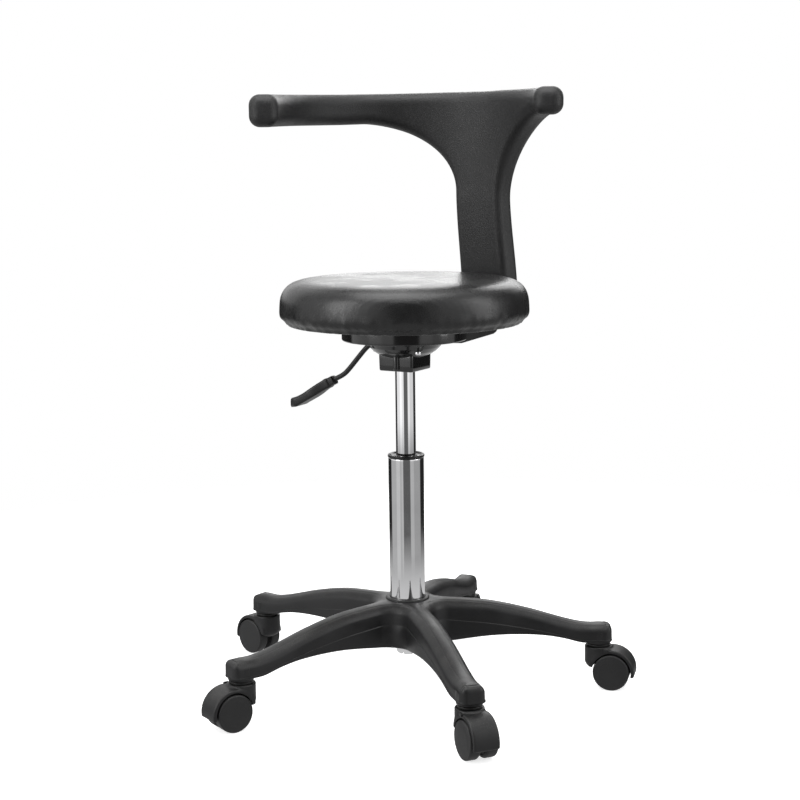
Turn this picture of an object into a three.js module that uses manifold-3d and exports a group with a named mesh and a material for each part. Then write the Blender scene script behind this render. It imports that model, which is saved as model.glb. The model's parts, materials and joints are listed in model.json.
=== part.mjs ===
// A dental operator's stool: a five-arm nylon base on twin-wheel castors, a gas lift,
// a round upholstered seat and a torso support that swings round the seat.
// Millimetres, +Z up. The stool stands on z = 0 and the origin is under the middle of its bounding box.
import * as THREE from 'three';
import { mergeVertices } from 'three/addons/utils/BufferGeometryUtils.js';
import Module from 'manifold-3d';

// ---------------------------------------------------------------- driving dimensions

const GAP = 0.3;                       // running clearance between neighbouring pieces
const AXIS_X = -25.2;                  // the column's axis in the stool's own frame
const AXIS_Y = 2.3;

const ARM_REACH = 273;                 // column axis to castor stem
const ARM_ANGLES = [-1.5, -73.5, -145.5, 142.5, 70.5];
const CASTOR_TRAIL_ANGLES = [-14.5, -67.5, -144.5, 136.2, 78.5];
const ARM_WIDTH = 38;
const ARM_END_BOTTOM = 66;
const HUB_BOTTOM = 70;
const HUB_TOP = 132;
const STEM_RADIUS = 5.5;
const STEM_TIP_RADIUS = 3;             // the stem's end, slim enough to stand between the wheels
const AXLE_RADIUS = 3;

const WHEEL_RADIUS = 26;
const WHEEL_SIDES = 20;
const WHEEL_INNER = 4.5;               // half of the gap between a castor's two wheels
const WHEEL_OUTER = 21;
const CASTOR_TRAIL = 20;
const HOOD_RADIUS = 33;
const HOOD_WIDTH = 37;
const HOUSING_RADIUS = 19.5;
const HOUSING_TOP = 61.5;

const COLUMN_RADIUS = 25;
const COLUMN_TOP = 342;
const CYLINDER_RADIUS = 14;
const CYLINDER_BOTTOM = 203;
const CYLINDER_TOP = 484;
const PIN_RADIUS = 3;                  // the gas valve's release pin
const ROD_RADIUS = 5;
const ROD_BOTTOM = 52;
const ROD_TOP = 308;

const SOCKET_BOTTOM = 462;
const SOCKET_TOP = 485;
const SOCKET_SIDE = 52;
const SOCKET_ANGLE = -30.5;             // the socket block's turn about the column
const BOWL_RIM = 504;
const SCREW_PLACE = [18, -42, 0];
const PAN_RADIUS = 88;
const PAN_BOTTOM = 504.5;
const PAN_TOP = 524;

const SEAT_RADIUS = 174.5;
const SEAT_BOTTOM = 531;
const SEAT_TOP = 590;
const BOARD_RADIUS = 158;
const BOARD_THICKNESS = 12;

const SUPPORT_X = 5;                   // the support's arc is a little off the column's axis
const SUPPORT_Y = -2;
const SUPPORT_RADIUS = 194;            // middle of the bar's thickness
const BAR_THICKNESS = 41;
const BAR_LEFT_ANGLE = 183.7;
const BAR_RIGHT_ANGLE = -10.7;
const BAR_LEFT = [798.5, 842.6];          // lowest and highest point at the left end
const BAR_RIGHT = [811, 849.4];         // and at the right end
const POST_ANGLE = 53.5;
const POST_HALF_WIDTH = 38;
const POST_THICKNESS = 34;
const POST_BOTTOM = 528;
const POST_LEAN = 12;                  // how far the post's foot stands out from the bar's arc
const STRAP_WIDTH = 40;
const STRAP_THICKNESS = 8;

const LEVER_ANGLE = 153;
const LEVER_PIVOT = [46, 496.5];       // distance from the column's axis, and height
const LEVER_RADIUS = 3.75;

// ---------------------------------------------------------------- helpers

const wasm = await Module();
wasm.setup();

const radians = THREE.MathUtils.degToRad;
const smooth = THREE.MathUtils.smoothstep;

// A closed geometry as a solid that can be cut and joined.
function solid(geometry) {
  const bare = geometry.clone();
  bare.deleteAttribute('normal');
  bare.deleteAttribute('uv');
  const merged = mergeVertices(bare, 1e-4);
  const corners = merged.index.array;
  const kept = [];
  for (let i = 0; i < corners.length; i += 3) {
    const [a, b, c] = corners.slice(i, i + 3);
    if (a !== b && b !== c && c !== a) {
      kept.push(a, b, c);
    }
  }
  return new wasm.Manifold(new wasm.Mesh({
    numProp: 3,
    vertProperties: new Float32Array(merged.attributes.position.array),
    triVerts: new Uint32Array(kept),
  }));
}

// A solid as a geometry again.
function surface(body) {
  const mesh = body.getMesh();
  const geometry = new THREE.BufferGeometry();
  geometry.setAttribute('position', new THREE.BufferAttribute(mesh.vertProperties, 3));
  geometry.setIndex(new THREE.BufferAttribute(mesh.triVerts, 1));
  geometry.computeVertexNormals();
  return geometry;
}

// The first geometry with the others cut out of it.
function cut(geometry, ...tools) {
  return surface(tools.reduce((body, tool) => body.subtract(solid(tool)), solid(geometry)));
}

function join(...geometries) {
  return surface(geometries.map(solid).reduce((body, other) => body.add(other)));
}

// Turns a profile of [radius, height] points about +Z; a closed profile makes a ring.
function turned(profile, sides = 24, firstAngle = 0) {
  const points = profile.map(([radius, height]) => new THREE.Vector2(radius, height));
  const geometry = new THREE.LatheGeometry(points, sides, firstAngle);
  geometry.rotateX(Math.PI / 2);
  return geometry;
}

function rod(radius, bottom, top, sides = 24) {
  const geometry = new THREE.CylinderGeometry(radius, radius, top - bottom, sides);
  geometry.rotateX(Math.PI / 2);
  geometry.translate(0, 0, (bottom + top) / 2);
  return geometry;
}

// A round cutter whose flats stand outside the radius, so what fits the radius clears the hole.
function hole(radius, bottom, top, sides = 12) {
  return rod(radius / Math.cos(Math.PI / sides), bottom, top, sides);
}

function tube(inner, outer, bottom, top, sides = 24) {
  return turned([[inner, bottom], [outer, bottom], [outer, top], [inner, top], [inner, bottom]], sides);
}

function block(width, depth, bottom, top) {
  const geometry = new THREE.BoxGeometry(width, depth, top - bottom);
  geometry.translate(0, 0, (bottom + top) / 2);
  return geometry;
}

// Pushes a flat outline up from one height to another, with its edges rounded by `edge`.
function pushed(outline, bottom, top, edge = 0, edgeSteps = 2, curveSegments = 8) {
  const geometry = new THREE.ExtrudeGeometry(outline, {
    depth: top - bottom - 2 * edge,
    curveSegments,
    bevelEnabled: edge > 0,
    bevelThickness: edge,
    bevelSize: edge,
    bevelOffset: -edge,
    bevelSegments: edgeSteps,
  });
  geometry.translate(0, 0, bottom + edge);
  return geometry;
}

// Pushes an outline drawn in X and Z across Y, centred on y = 0.
function pushedAcross(outline, width, edge = 0, edgeSteps = 2, curveSegments = 8) {
  const geometry = pushed(outline, -width / 2, width / 2, edge, edgeSteps, curveSegments);
  geometry.rotateX(Math.PI / 2);
  return geometry;
}

// A box's grid of points moved by a rule: place(a, b, c) takes -1 to 1 along each side.
function moulded(segments, place) {
  const geometry = new THREE.BoxGeometry(2, 2, 2, ...segments);
  const points = geometry.attributes.position;
  for (let i = 0; i < points.count; i += 1) {
    points.setXYZ(i, ...place(points.getX(i), points.getY(i), points.getZ(i)));
  }
  return geometry;
}

// Rounds the edges of a box of half sizes `half`: each point is pulled in to the rounding radius.
function rounded(point, half, radius) {
  const core = point.map((value, i) => THREE.MathUtils.clamp(value, radius - half[i], half[i] - radius));
  const away = new THREE.Vector3(...point.map((value, i) => value - core[i]));
  away.setLength(away.lengthSq() > 0 ? radius : 0);
  return [core[0] + away.x, core[1] + away.y, core[2] + away.z];
}

const paint = {
  nylon: [0x1d1d1e, 0.55, 0],
  leather: [0x141415, 0.35, 0],
  skinned_foam: [0x1a1a1b, 0.6, 0],
  gloss_black: [0x0c0c0d, 0.18, 0],
  chrome: [0xd8d8da, 0.06, 1],
  steel: [0x8d8f92, 0.35, 1],
  plywood: [0xb28a58, 0.7, 0],
  rubber: [0x121212, 0.8, 0],
  white_plastic: [0xd9d9d4, 0.4, 0],
};

function piece(name, geometry, finish, parent) {
  const [color, roughness, metalness] = paint[finish];
  const mesh = new THREE.Mesh(geometry, new THREE.MeshStandardMaterial({ color, roughness, metalness }));
  mesh.name = name;
  parent.add(mesh);
  return mesh;
}

const stool = new THREE.Group();
stool.position.set(AXIS_X, AXIS_Y, 0);

// ---------------------------------------------------------------- star base

// Side view of one arm, from the column's axis out to its rounded end over the castor.
function armOutline() {
  const end = ARM_REACH + 18.5;
  const outline = new THREE.Shape();
  outline.moveTo(0, 131);
  outline.lineTo(40, 132.5);
  [[111, 129.5], [175, 115.5], [225, 101], [250, 94.5], [end - 9, 94]].forEach((point) => outline.lineTo(...point));
  outline.absarc(end - 9, 85, 9, Math.PI / 2, 0, true);
  outline.lineTo(end, ARM_END_BOTTOM);
  outline.lineTo(ARM_REACH - 20, ARM_END_BOTTOM);
  [[225, 76], [190, 81.5], [150, 82], [112, 79], [70, 74]].forEach((point) => outline.lineTo(...point));
  outline.lineTo(0, 74);
  return outline;
}

// Plan of the webs between the arms: between two arms the edge is one arc, tangent to both.
function webOutline() {
  const half = ARM_WIDTH / 2 - 0.4;
  const arcRadius = 26;
  const step = Math.PI / 5;
  const centreDistance = (half + arcRadius) / Math.sin(step);
  const outline = new THREE.Shape();
  for (let k = 0; k < 5; k += 1) {
    const middle = (2 * k + 1) * step;
    const x = centreDistance * Math.cos(middle);
    const y = centreDistance * Math.sin(middle);
    const first = 2 * k * step - Math.PI / 2;
    outline.absarc(x, y, arcRadius, first, first - Math.PI + 2 * step, true);
  }
  return outline;
}

function starBase() {
  const arm = pushedAcross(armOutline(), ARM_WIDTH, 6, 1, 2);
  const arms = ARM_ANGLES.map((angle) => arm.clone().rotateZ(radians(angle)));
  const web = pushed(webOutline(), HUB_BOTTOM + 4, HUB_TOP - 5, 5, 1, 4);
  web.rotateZ(radians(ARM_ANGLES[0]));
  const hub = turned([
    [0, HUB_BOTTOM], [38, HUB_BOTTOM], [40, 76], [40, 122],
    [31, HUB_TOP], [29, HUB_TOP + 2], [0, HUB_TOP + 2],
  ], 20);
  const sockets = ARM_ANGLES.map((angle) => {
    const socket = hole(STEM_RADIUS + GAP, 0, 86, 8);
    socket.translate(ARM_REACH, 0, 0);
    return socket.rotateZ(radians(angle));
  });
  const slots = ARM_ANGLES.flatMap((angle) => slotsUnderArm().map((slot) => slot.rotateZ(radians(angle))));
  const bore = hole(COLUMN_RADIUS + GAP, 0, 200, 24);
  return cut(join(hub, web, ...arms), bore, ...sockets, ...slots);
}

// The narrow slots that core out an arm from below, with two ribs left along it.
function slotsUnderArm() {
  const width = 6.4;
  const pitch = width + 2.4;
  return [[78, 138, 112], [138, 210, 96]].flatMap(([from, to, roof]) => [-pitch, 0, pitch].map((across) => {
    const slot = block(to - from, width, 60, roof);
    return slot.translate((from + to) / 2, across, 0);
  }));
}

piece('star_base', starBase(), 'nylon', stool);

// ---------------------------------------------------------------- gas lift

piece('column_tube', turned([
  [6, 66], [COLUMN_RADIUS - 1, 66], [COLUMN_RADIUS, 70],
  [COLUMN_RADIUS, COLUMN_TOP - 4], [COLUMN_RADIUS + 0.8, COLUMN_TOP - 2.5], [COLUMN_RADIUS - 0.4, COLUMN_TOP],
  [COLUMN_RADIUS - 2, COLUMN_TOP], [COLUMN_RADIUS - 2, 70], [6, 70], [6, 66],
], 24), 'chrome', stool);
piece('guide_bush', turned([
  [CYLINDER_RADIUS + GAP, 250], [COLUMN_RADIUS - 2 - GAP, 250], [COLUMN_RADIUS - 2 - GAP, 339],
  [CYLINDER_RADIUS + GAP, 339], [CYLINDER_RADIUS + GAP, 250],
], 20), 'rubber', stool);
piece('column_end_cap', turned([
  [6, 57], [15, 57], [17, 59], [17, 65.7], [6, 65.7], [6, 57],
], 24), 'steel', stool);
piece('thrust_bearing', tube(6, 14, 70.3, 77, 24), 'steel', stool);

const swivel = new THREE.Group();
stool.add(swivel);
piece('piston_rod', turned([
  [0, ROD_BOTTOM], [ROD_RADIUS, ROD_BOTTOM], [ROD_RADIUS, 77.3], [9, 77.3], [9, 81], [ROD_RADIUS, 81],
  [ROD_RADIUS, ROD_TOP], [0, ROD_TOP],
], 20), 'steel', swivel);
piece('retaining_clip', tube(ROD_RADIUS + GAP, 10, 53.5, 56.4, 16), 'steel', swivel);
piece('bump_rubber', tube(ROD_RADIUS + GAP, 13, 81.3, 99, 20), 'rubber', swivel);
piece('piston', tube(ROD_RADIUS + GAP, 11.6, 288, 302, 20), 'white_plastic', swivel);

const seat = new THREE.Group();
swivel.add(seat);
piece('gas_cylinder', turned([
  [ROD_RADIUS + GAP, CYLINDER_BOTTOM], [CYLINDER_RADIUS - 1, CYLINDER_BOTTOM],
  [CYLINDER_RADIUS, CYLINDER_BOTTOM + 1], [CYLINDER_RADIUS, CYLINDER_TOP - 24],
  [CYLINDER_RADIUS - 0.6, CYLINDER_TOP], [3.3, CYLINDER_TOP], [3.3, CYLINDER_TOP - 10],
  [12, CYLINDER_TOP - 10], [12, CYLINDER_BOTTOM + 8], [ROD_RADIUS + GAP, CYLINDER_BOTTOM + 8],
  [ROD_RADIUS + GAP, CYLINDER_BOTTOM],
], 20), 'chrome', seat);

// ---------------------------------------------------------------- seat mechanism

function roundedSquare(side, corner) {
  const half = side / 2;
  const inner = half - corner;
  const outline = new THREE.Shape();
  outline.absarc(inner, inner, corner, 0, Math.PI / 2);
  outline.absarc(-inner, inner, corner, Math.PI / 2, Math.PI);
  outline.absarc(-inner, -inner, corner, Math.PI, 1.5 * Math.PI);
  outline.absarc(inner, -inner, corner, 1.5 * Math.PI, 2 * Math.PI);
  return outline;
}

// The cast block: a square socket for the cylinder's taper under an open bowl with a rim.
function mechanismHousing() {
  const [pivotReach, pivotHeight] = LEVER_PIVOT;
  const socket = pushed(roundedSquare(SOCKET_SIDE, 4), SOCKET_BOTTOM, SOCKET_TOP + 1, 1, 1, 3);
  const boss = rod(4.5, SOCKET_BOTTOM + 3, SOCKET_TOP, 12);
  boss.translate(2, -SOCKET_SIDE / 2, 0);
  const cast = join(socket, boss).rotateZ(radians(SOCKET_ANGLE));
  const bowl = turned([
    [0, 480], [24, 480], [34, SOCKET_TOP - 1], [41, 488.5], [47, 494.5], [50.5, 501],
    [55, 501.6], [55, BOWL_RIM], [48, BOWL_RIM], [47, 501], [43.5, 496], [37, 491], [17, 487.3], [0, 487.3],
  ]);
  const ears = [-7.6, 7.6].map((y) => {
    const ear = block(9, 3, 487, 500.5);
    ear.translate(pivotReach - 5.5, y, 0);
    return ear.rotateZ(radians(LEVER_ANGLE));
  });
  const slot = block(30, 11.6, 488, BOWL_RIM + 1);
  slot.translate(pivotReach + 5, 0, 0);
  slot.rotateZ(radians(LEVER_ANGLE));
  const bore = turned([
    [0, 0], [CYLINDER_RADIUS + GAP, 0], [CYLINDER_RADIUS + GAP, CYLINDER_TOP - 24],
    [CYLINDER_RADIUS - 0.3, CYLINDER_TOP + GAP], [0, CYLINDER_TOP + GAP],
  ]);
  const pinHole = hole(2.3, -12, 12, 8);
  pinHole.rotateX(Math.PI / 2);
  pinHole.translate(pivotReach - 5, 0, pivotHeight);
  pinHole.rotateZ(radians(LEVER_ANGLE));
  const lug = rod(6.5, 491.5, 500, 12).translate(...SCREW_PLACE);
  const screwHole = hole(2.5 + GAP, 470, 520, 8).translate(...SCREW_PLACE);
  const screwSeat = hole(4.6 + GAP, 470, 492, 12).translate(...SCREW_PLACE);
  return cut(
    join(bowl, cast, lug, ...ears),
    bore, hole(PIN_RADIUS + GAP, 470, 520, 12), slot, pinHole, screwHole, screwSeat,
  );
}

piece('mechanism_housing', mechanismHousing(), 'gloss_black', seat);
piece('housing_screw', join(
  turned([[0, 487.4], [3.6, 487.8], [4.6, 489], [4.6, 491.6], [0, 491.6]], 12),
  rod(2.5, 491, 503.8, 12),
).translate(...SCREW_PLACE), 'chrome', seat);

const leverPin = rod(2, -9.6, 9.6, 12);
leverPin.rotateX(Math.PI / 2);
leverPin.translate(LEVER_PIVOT[0] - 5, 0, LEVER_PIVOT[1]);
piece('lever_pin', leverPin.rotateZ(radians(LEVER_ANGLE)), 'steel', seat);

piece('swivel_spindle', turned([
  [15, BOWL_RIM + GAP], [54, BOWL_RIM + GAP], [54, 507], [22, 507], [22, 525.7], [15, 525.7],
  [15, BOWL_RIM + GAP],
]), 'steel', seat);
piece('lower_glide_ring', tube(24.6, 44, 507.3, 508.9), 'white_plastic', seat);
piece('upper_glide_ring', tube(22.6, 60, 524.3, 525.7), 'white_plastic', seat);
piece('seat_plate', pushed(roundedSquare(166, 16), 526, 529, 0, 0, 3), 'steel', seat);
const boardBottom = SEAT_BOTTOM - 1.7;
const boardTop = boardBottom + BOARD_THICKNESS;
piece('seat_board', cut(
  rod(BOARD_RADIUS, boardBottom, boardTop, 36),
  ...seatBoltPlaces().map((place) => hole(3.4, 0, boardTop - 2, 8).translate(...place)),
), 'plywood', seat);

function seatBoltPlaces() {
  return [45, 135, 225, 315].map((angle) => {
    const place = new THREE.Vector3(98, 0, 0).applyAxisAngle(new THREE.Vector3(0, 0, 1), radians(angle));
    return place.toArray();
  });
}
seatBoltPlaces().forEach((place, i) => {
  const bolt = turned([[0, 521.6], [6, 521.6], [6.5, 522.4], [6.5, 525.7], [0, 525.7]], 6);
  piece(`seat_bolt_${i + 1}`, bolt.translate(...place), 'steel', seat);
});

// ---------------------------------------------------------------- cushion

piece('seat_cushion', turned([
  [0, boardTop + GAP], [BOARD_RADIUS + GAP, boardTop + GAP], [BOARD_RADIUS + GAP, SEAT_BOTTOM],
  [164, SEAT_BOTTOM], [170, 534], [173.5, 540.5], [SEAT_RADIUS, 548.5], [174.3, 560], [171.6, 571],
  [166, 579], [157, 584.8], [145, 588.4], [128, SEAT_TOP], [0, SEAT_TOP],
], 36), 'leather', seat);

// ---------------------------------------------------------------- swinging support

const arm = new THREE.Group();
seat.add(arm);

// The dished steel pan that turns between the two glide rings, with a notch for the strap.
const pan = turned([
  [24.4, 509.2], [34, 509.2], [34, 521], [PAN_RADIUS - 2.5, 521], [PAN_RADIUS - 2.5, PAN_BOTTOM],
  [PAN_RADIUS - 0.6, PAN_BOTTOM], [PAN_RADIUS, PAN_BOTTOM + 1.5], [PAN_RADIUS, PAN_TOP - 2],
  [PAN_RADIUS - 2, PAN_TOP], [24.4, PAN_TOP], [24.4, 509.2],
], 36);
const notch = block(20, STRAP_WIDTH + 2, 500, 520.7);
notch.translate(PAN_RADIUS, 0, 0);
piece('arm_turntable', cut(pan, notch.rotateZ(radians(POST_ANGLE))), 'gloss_black', arm);

// The support's thickness is centred on this distance from its arc's axis at each height.
function supportRadius(height) {
  return SUPPORT_RADIUS + POST_LEAN * smooth(710 - height, 0, 170);
}

// A point of the support from its angle about its own axis, height and distance off the middle.
function onSupport(angle, height, off) {
  const reach = supportRadius(height) + off;
  return [SUPPORT_X + reach * Math.cos(angle), SUPPORT_Y + reach * Math.sin(angle), height];
}

// The bar: a rounded slab bent along the arc, a little higher and slimmer towards the right end.
function supportBar() {
  const start = radians(BAR_RIGHT_ANGLE);
  const sweep = radians(BAR_LEFT_ANGLE) - start;
  const halfLength = sweep * SUPPORT_RADIUS / 2;
  return moulded([4, 24, 4], (a, b, c) => {
    const share = (b + 1) / 2;
    const low = THREE.MathUtils.lerp(BAR_RIGHT[0], BAR_LEFT[0], share);
    const high = THREE.MathUtils.lerp(BAR_RIGHT[1], BAR_LEFT[1], share);
    const half = [BAR_THICKNESS / 2, halfLength, (high - low) / 2];
    const grid = [a * half[0], stretched(b, halfLength, 10) * half[1], c * half[2]];
    const [off, along, up] = rounded(grid, half, 15);
    const angle = start + sweep / 2 + along / SUPPORT_RADIUS;
    return onSupport(angle, (low + high) / 2 + up, off);
  });
}

// Spreads the grid so that its outermost rows stand in the rounded end.
function stretched(value, halfLength, endLength) {
  const near = 1 - endLength / halfLength;
  return Math.abs(value) > 0.95 ? value : value * near / 0.92;
}

// The post: narrow at the seat and flared by two quarter ellipses where it meets the bar.
function supportPost() {
  const flareTop = BAR_LEFT[0] + 3.5;
  const top = 825;
  const flare = (height, width, depth) => {
    const rise = THREE.MathUtils.clamp(1 - (flareTop - height) / depth, 0, 1);
    return width * (1 - Math.sqrt(1 - rise * rise));
  };
  return moulded([4, 6, 13], (a, b, c) => {
    const height = THREE.MathUtils.lerp(POST_BOTTOM, top, ((c + 1) / 2) ** 0.7);
    const left = POST_HALF_WIDTH + 4 + flare(height, 150, 138);
    const right = POST_HALF_WIDTH + flare(height, 95, 118);
    const half = [POST_THICKNESS / 2, (left + right) / 2, 400];
    const [off, across] = rounded([a * half[0], b * half[1], 0], half, 11);
    const shift = -4 * smooth(710 - height, 0, 170);
    const arc = across + (left - right) / 2 + shift;
    return onSupport(radians(POST_ANGLE) + arc / SUPPORT_RADIUS, height, off);
  });
}

// Side view of the strap that carries the support: flat where it is bolted to the pan, deeper outside
// the pan's edge, then up inside the post. `spare` makes it larger all round.
function strap(spare) {
  const foot = supportRadius(540) + 1.6;
  const top = SUPPORT_RADIUS + 3;
  const out = STRAP_THICKNESS / 2 + spare;
  const outline = new THREE.Shape([
    [38, 511.5 - spare], [74, 511.5 - spare], [88, 491 - spare], [112, 488.5 - spare], [foot - 12, 494 - spare],
    [foot - 3, 497 - spare], [foot + out, 506], [foot + out, 540], [top + out, 730 + 2 * spare],
    [top - out, 730 + 2 * spare], [foot - out, 540], [foot - out, 524], [foot - out - 3, 516], [foot - 14, 512.5],
    [88, 519.5 + spare], [38, 519.5 + spare],
  ].map((point) => new THREE.Vector2(...point)));
  return pushedAcross(outline, STRAP_WIDTH + 2 * spare).rotateZ(radians(POST_ANGLE));
}

// The hollow of the strap's channel, open at the top.
function strapHollow() {
  const corners = [[92, 495], [112, 492.5], [180, 497], [184, 525], [92, 525]];
  const outline = new THREE.Shape(corners.map((corner) => new THREE.Vector2(...corner)));
  return pushedAcross(outline, STRAP_WIDTH - 7).rotateZ(radians(POST_ANGLE));
}

const armBoltPlaces = [52, 66.6].map((reach) => {
  const place = new THREE.Vector3(reach, 0, 0);
  return place.applyAxisAngle(new THREE.Vector3(0, 0, 1), radians(POST_ANGLE)).toArray();
});
const strapHoles = armBoltPlaces.map((place) => hole(4.3, 480, 530, 8).translate(...place));
piece('arm_strap', cut(strap(0), strapHollow(), ...strapHoles), 'steel', arm);
piece('torso_support', cut(
  join(supportBar(), supportPost()),
  strap(0.6),
), 'skinned_foam', arm);
armBoltPlaces.forEach((place, i) => {
  const bolt = join(turned([[0, 507.2], [7, 507.2], [7, 511.2], [0, 511.2]], 6), rod(4, 510, 520.7, 12));
  piece(`arm_bolt_${i + 1}`, bolt.translate(...place), 'steel', arm);
});

// ---------------------------------------------------------------- height lever

const lever = new THREE.Group();
lever.rotation.z = radians(LEVER_ANGLE);
seat.add(lever);

// The lever's route in its own upright plane: over the release pin, through the bowl, down to the grip.
const leverRoute = new THREE.CatmullRomCurve3([
  [-4, 496.5], [20, 496.5], [46, 496.5], [56, 493.5], [66, 484.5],
  [89, 458.5], [99, 449.5], [112, 442.5], [126, 435],
].map(([reach, height]) => new THREE.Vector3(reach, 0, height)), false, 'centripetal');
const leverSection = new THREE.Shape().absarc(0, 0, LEVER_RADIUS, 0, 2 * Math.PI);
const leverRod = new THREE.ExtrudeGeometry(leverSection, {
  steps: 16, curveSegments: 8, bevelEnabled: false, extrudePath: leverRoute,
});
const leverEye = rod(5.2, -5.4, 5.4, 16);
leverEye.rotateX(Math.PI / 2);
leverEye.translate(LEVER_PIVOT[0] - 5, 0, LEVER_PIVOT[1]);
const leverEyeHole = hole(2.3, -12, 12, 8);
leverEyeHole.rotateX(Math.PI / 2);
leverEyeHole.translate(LEVER_PIVOT[0] - 5, 0, LEVER_PIVOT[1]);
piece('lever_rod', cut(join(leverRod, leverEye), leverEyeHole), 'nylon', lever);

// The grip: a flat tapering paddle with a blunt faceted tip, pushed over the rod's end.
const paddleStart = new THREE.Vector2(114, 441);
const paddleSlope = radians(-28);
const paddleLength = 78;
const paddle = moulded([4, 2, 6], (a, b, c) => {
  const share = (c + 1) / 2;
  const halfWidth = THREE.MathUtils.lerp(9, 17, smooth(share, 0, 0.5)) - 5 * smooth(share, 0.85, 1);
  const halfThick = THREE.MathUtils.lerp(7, 5, share) - 1.5 * smooth(share, 0.85, 1);
  const [across, up] = rounded([a * halfWidth, b * halfThick, 0], [halfWidth, halfThick, 400], 3);
  const along = share * paddleLength;
  const bow = -2.5 * Math.sin(Math.PI * share);
  return [
    paddleStart.x + along * Math.cos(paddleSlope) - (up - bow) * Math.sin(paddleSlope),
    across,
    paddleStart.y + along * Math.sin(paddleSlope) + (up - bow) * Math.cos(paddleSlope),
  ];
});
const leverSocket = new THREE.ExtrudeGeometry(
  new THREE.Shape().absarc(0, 0, LEVER_RADIUS + GAP + 0.1, 0, 2 * Math.PI),
  { steps: 16, curveSegments: 8, bevelEnabled: false, extrudePath: leverRoute },
);
piece('lever_paddle', cut(paddle, leverSocket), 'nylon', lever);

piece('release_pin', rod(PIN_RADIUS, 468, 492.4, 16), 'steel', seat);

// ---------------------------------------------------------------- castors

// One twin-wheel castor about its stem's axis; +X is the way the wheels trail.
function castorBody() {
  const axleHeight = WHEEL_RADIUS;
  const tip = radians(-11);
  const hoodOutline = new THREE.Shape();
  hoodOutline.absarc(CASTOR_TRAIL, axleHeight, HOOD_RADIUS, tip, Math.PI);
  hoodOutline.lineTo(CASTOR_TRAIL - 20, axleHeight);
  hoodOutline.lineTo(CASTOR_TRAIL + 8, axleHeight - 6.3);
  const hood = pushedAcross(hoodOutline, HOOD_WIDTH, 1.5, 1, 6);
  const housing = turned([
    [0, axleHeight], [9, axleHeight], [14.5, 28.5], [18.2, 33.5], [HOUSING_RADIUS, 40],
    [HOUSING_RADIUS, HOUSING_TOP - 1.5], [HOUSING_RADIUS - 1.5, HOUSING_TOP], [0, HOUSING_TOP],
  ], 20);
  const wells = [-1, 1].map((side) => {
    const well = new THREE.CylinderGeometry(WHEEL_RADIUS + 2, WHEEL_RADIUS + 2, 30, 24);
    return well.translate(CASTOR_TRAIL, side * (15 + WHEEL_INNER - 0.6), axleHeight);
  });
  const stemBore = join(hole(STEM_RADIUS + GAP, 52, 80, 8), hole(STEM_TIP_RADIUS + GAP, 37, 80, 8));
  const axleBore = hole(AXLE_RADIUS + GAP, -30, 30, 8);
  axleBore.rotateX(Math.PI / 2);
  axleBore.translate(CASTOR_TRAIL, 0, axleHeight);
  return cut(join(hood, housing), ...wells, stemBore, axleBore);
}

// A wheel about its own axle: domed outside, with a blind bore open to the castor's middle.
function castorWheel(side) {
  const tread = WHEEL_RADIUS / Math.cos(Math.PI / WHEEL_SIDES);
  const wheel = new THREE.LatheGeometry([
    [0, 18.6], [AXLE_RADIUS + GAP, 18.6], [AXLE_RADIUS + GAP, WHEEL_INNER],
    [tread - 2, WHEEL_INNER], [tread, WHEEL_INNER + 2],
    [tread, 17], [tread - 3, 20.2], [0, WHEEL_OUTER + 0.4],
  ].map(([radius, out]) => new THREE.Vector2(radius, out)), WHEEL_SIDES, Math.PI / WHEEL_SIDES);
  return side > 0 ? wheel : wheel.rotateX(Math.PI);
}

const castorStem = turned([
  [0, 38], [STEM_TIP_RADIUS, 38], [STEM_TIP_RADIUS, 53], [STEM_RADIUS, 53],
  [STEM_RADIUS, HOUSING_TOP + GAP], [16.5, HOUSING_TOP + GAP], [16.5, 65.6], [STEM_RADIUS, 65.6],
  [STEM_RADIUS, 85], [0, 85],
], 12);
const castorAxle = new THREE.CylinderGeometry(AXLE_RADIUS, AXLE_RADIUS, 36.4, 8);
castorAxle.translate(CASTOR_TRAIL, 0, WHEEL_RADIUS);
const bodyShape = castorBody();

ARM_ANGLES.forEach((armAngle, i) => {
  const castor = new THREE.Group();
  const turn = radians(armAngle);
  castor.position.set(ARM_REACH * Math.cos(turn), ARM_REACH * Math.sin(turn), 0);
  castor.rotation.z = radians(CASTOR_TRAIL_ANGLES[i]);
  stool.add(castor);
  const number = i + 1;
  piece(`castor_stem_${number}`, castorStem, 'steel', castor);
  piece(`castor_body_${number}`, bodyShape, 'nylon', castor);
  piece(`castor_axle_${number}`, castorAxle, 'steel', castor);
  [['left', 1], ['right', -1]].forEach(([name, side]) => {
    const wheel = piece(`castor_wheel_${name}_${number}`, castorWheel(side), 'nylon', castor);
    wheel.position.set(CASTOR_TRAIL, 0, WHEEL_RADIUS);
  });
});

export default stool;
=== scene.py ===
# %% [markdown]
# # A dental operator's stool
# The stool has a moulded five-arm base on twin-wheel castors, a chrome gas lift, a gloss black mechanism
# with its lever, a round upholstered seat, and a curved support in skinned foam that swings round the seat.
# The frame holds every part at its real size. This script gives each part its fine surface and its finish,
# and it starts by loading the frame.

# %% The frame
import json
import math
import bpy
import bmesh
import numpy as np
from mathutils import Matrix, Vector

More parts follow.
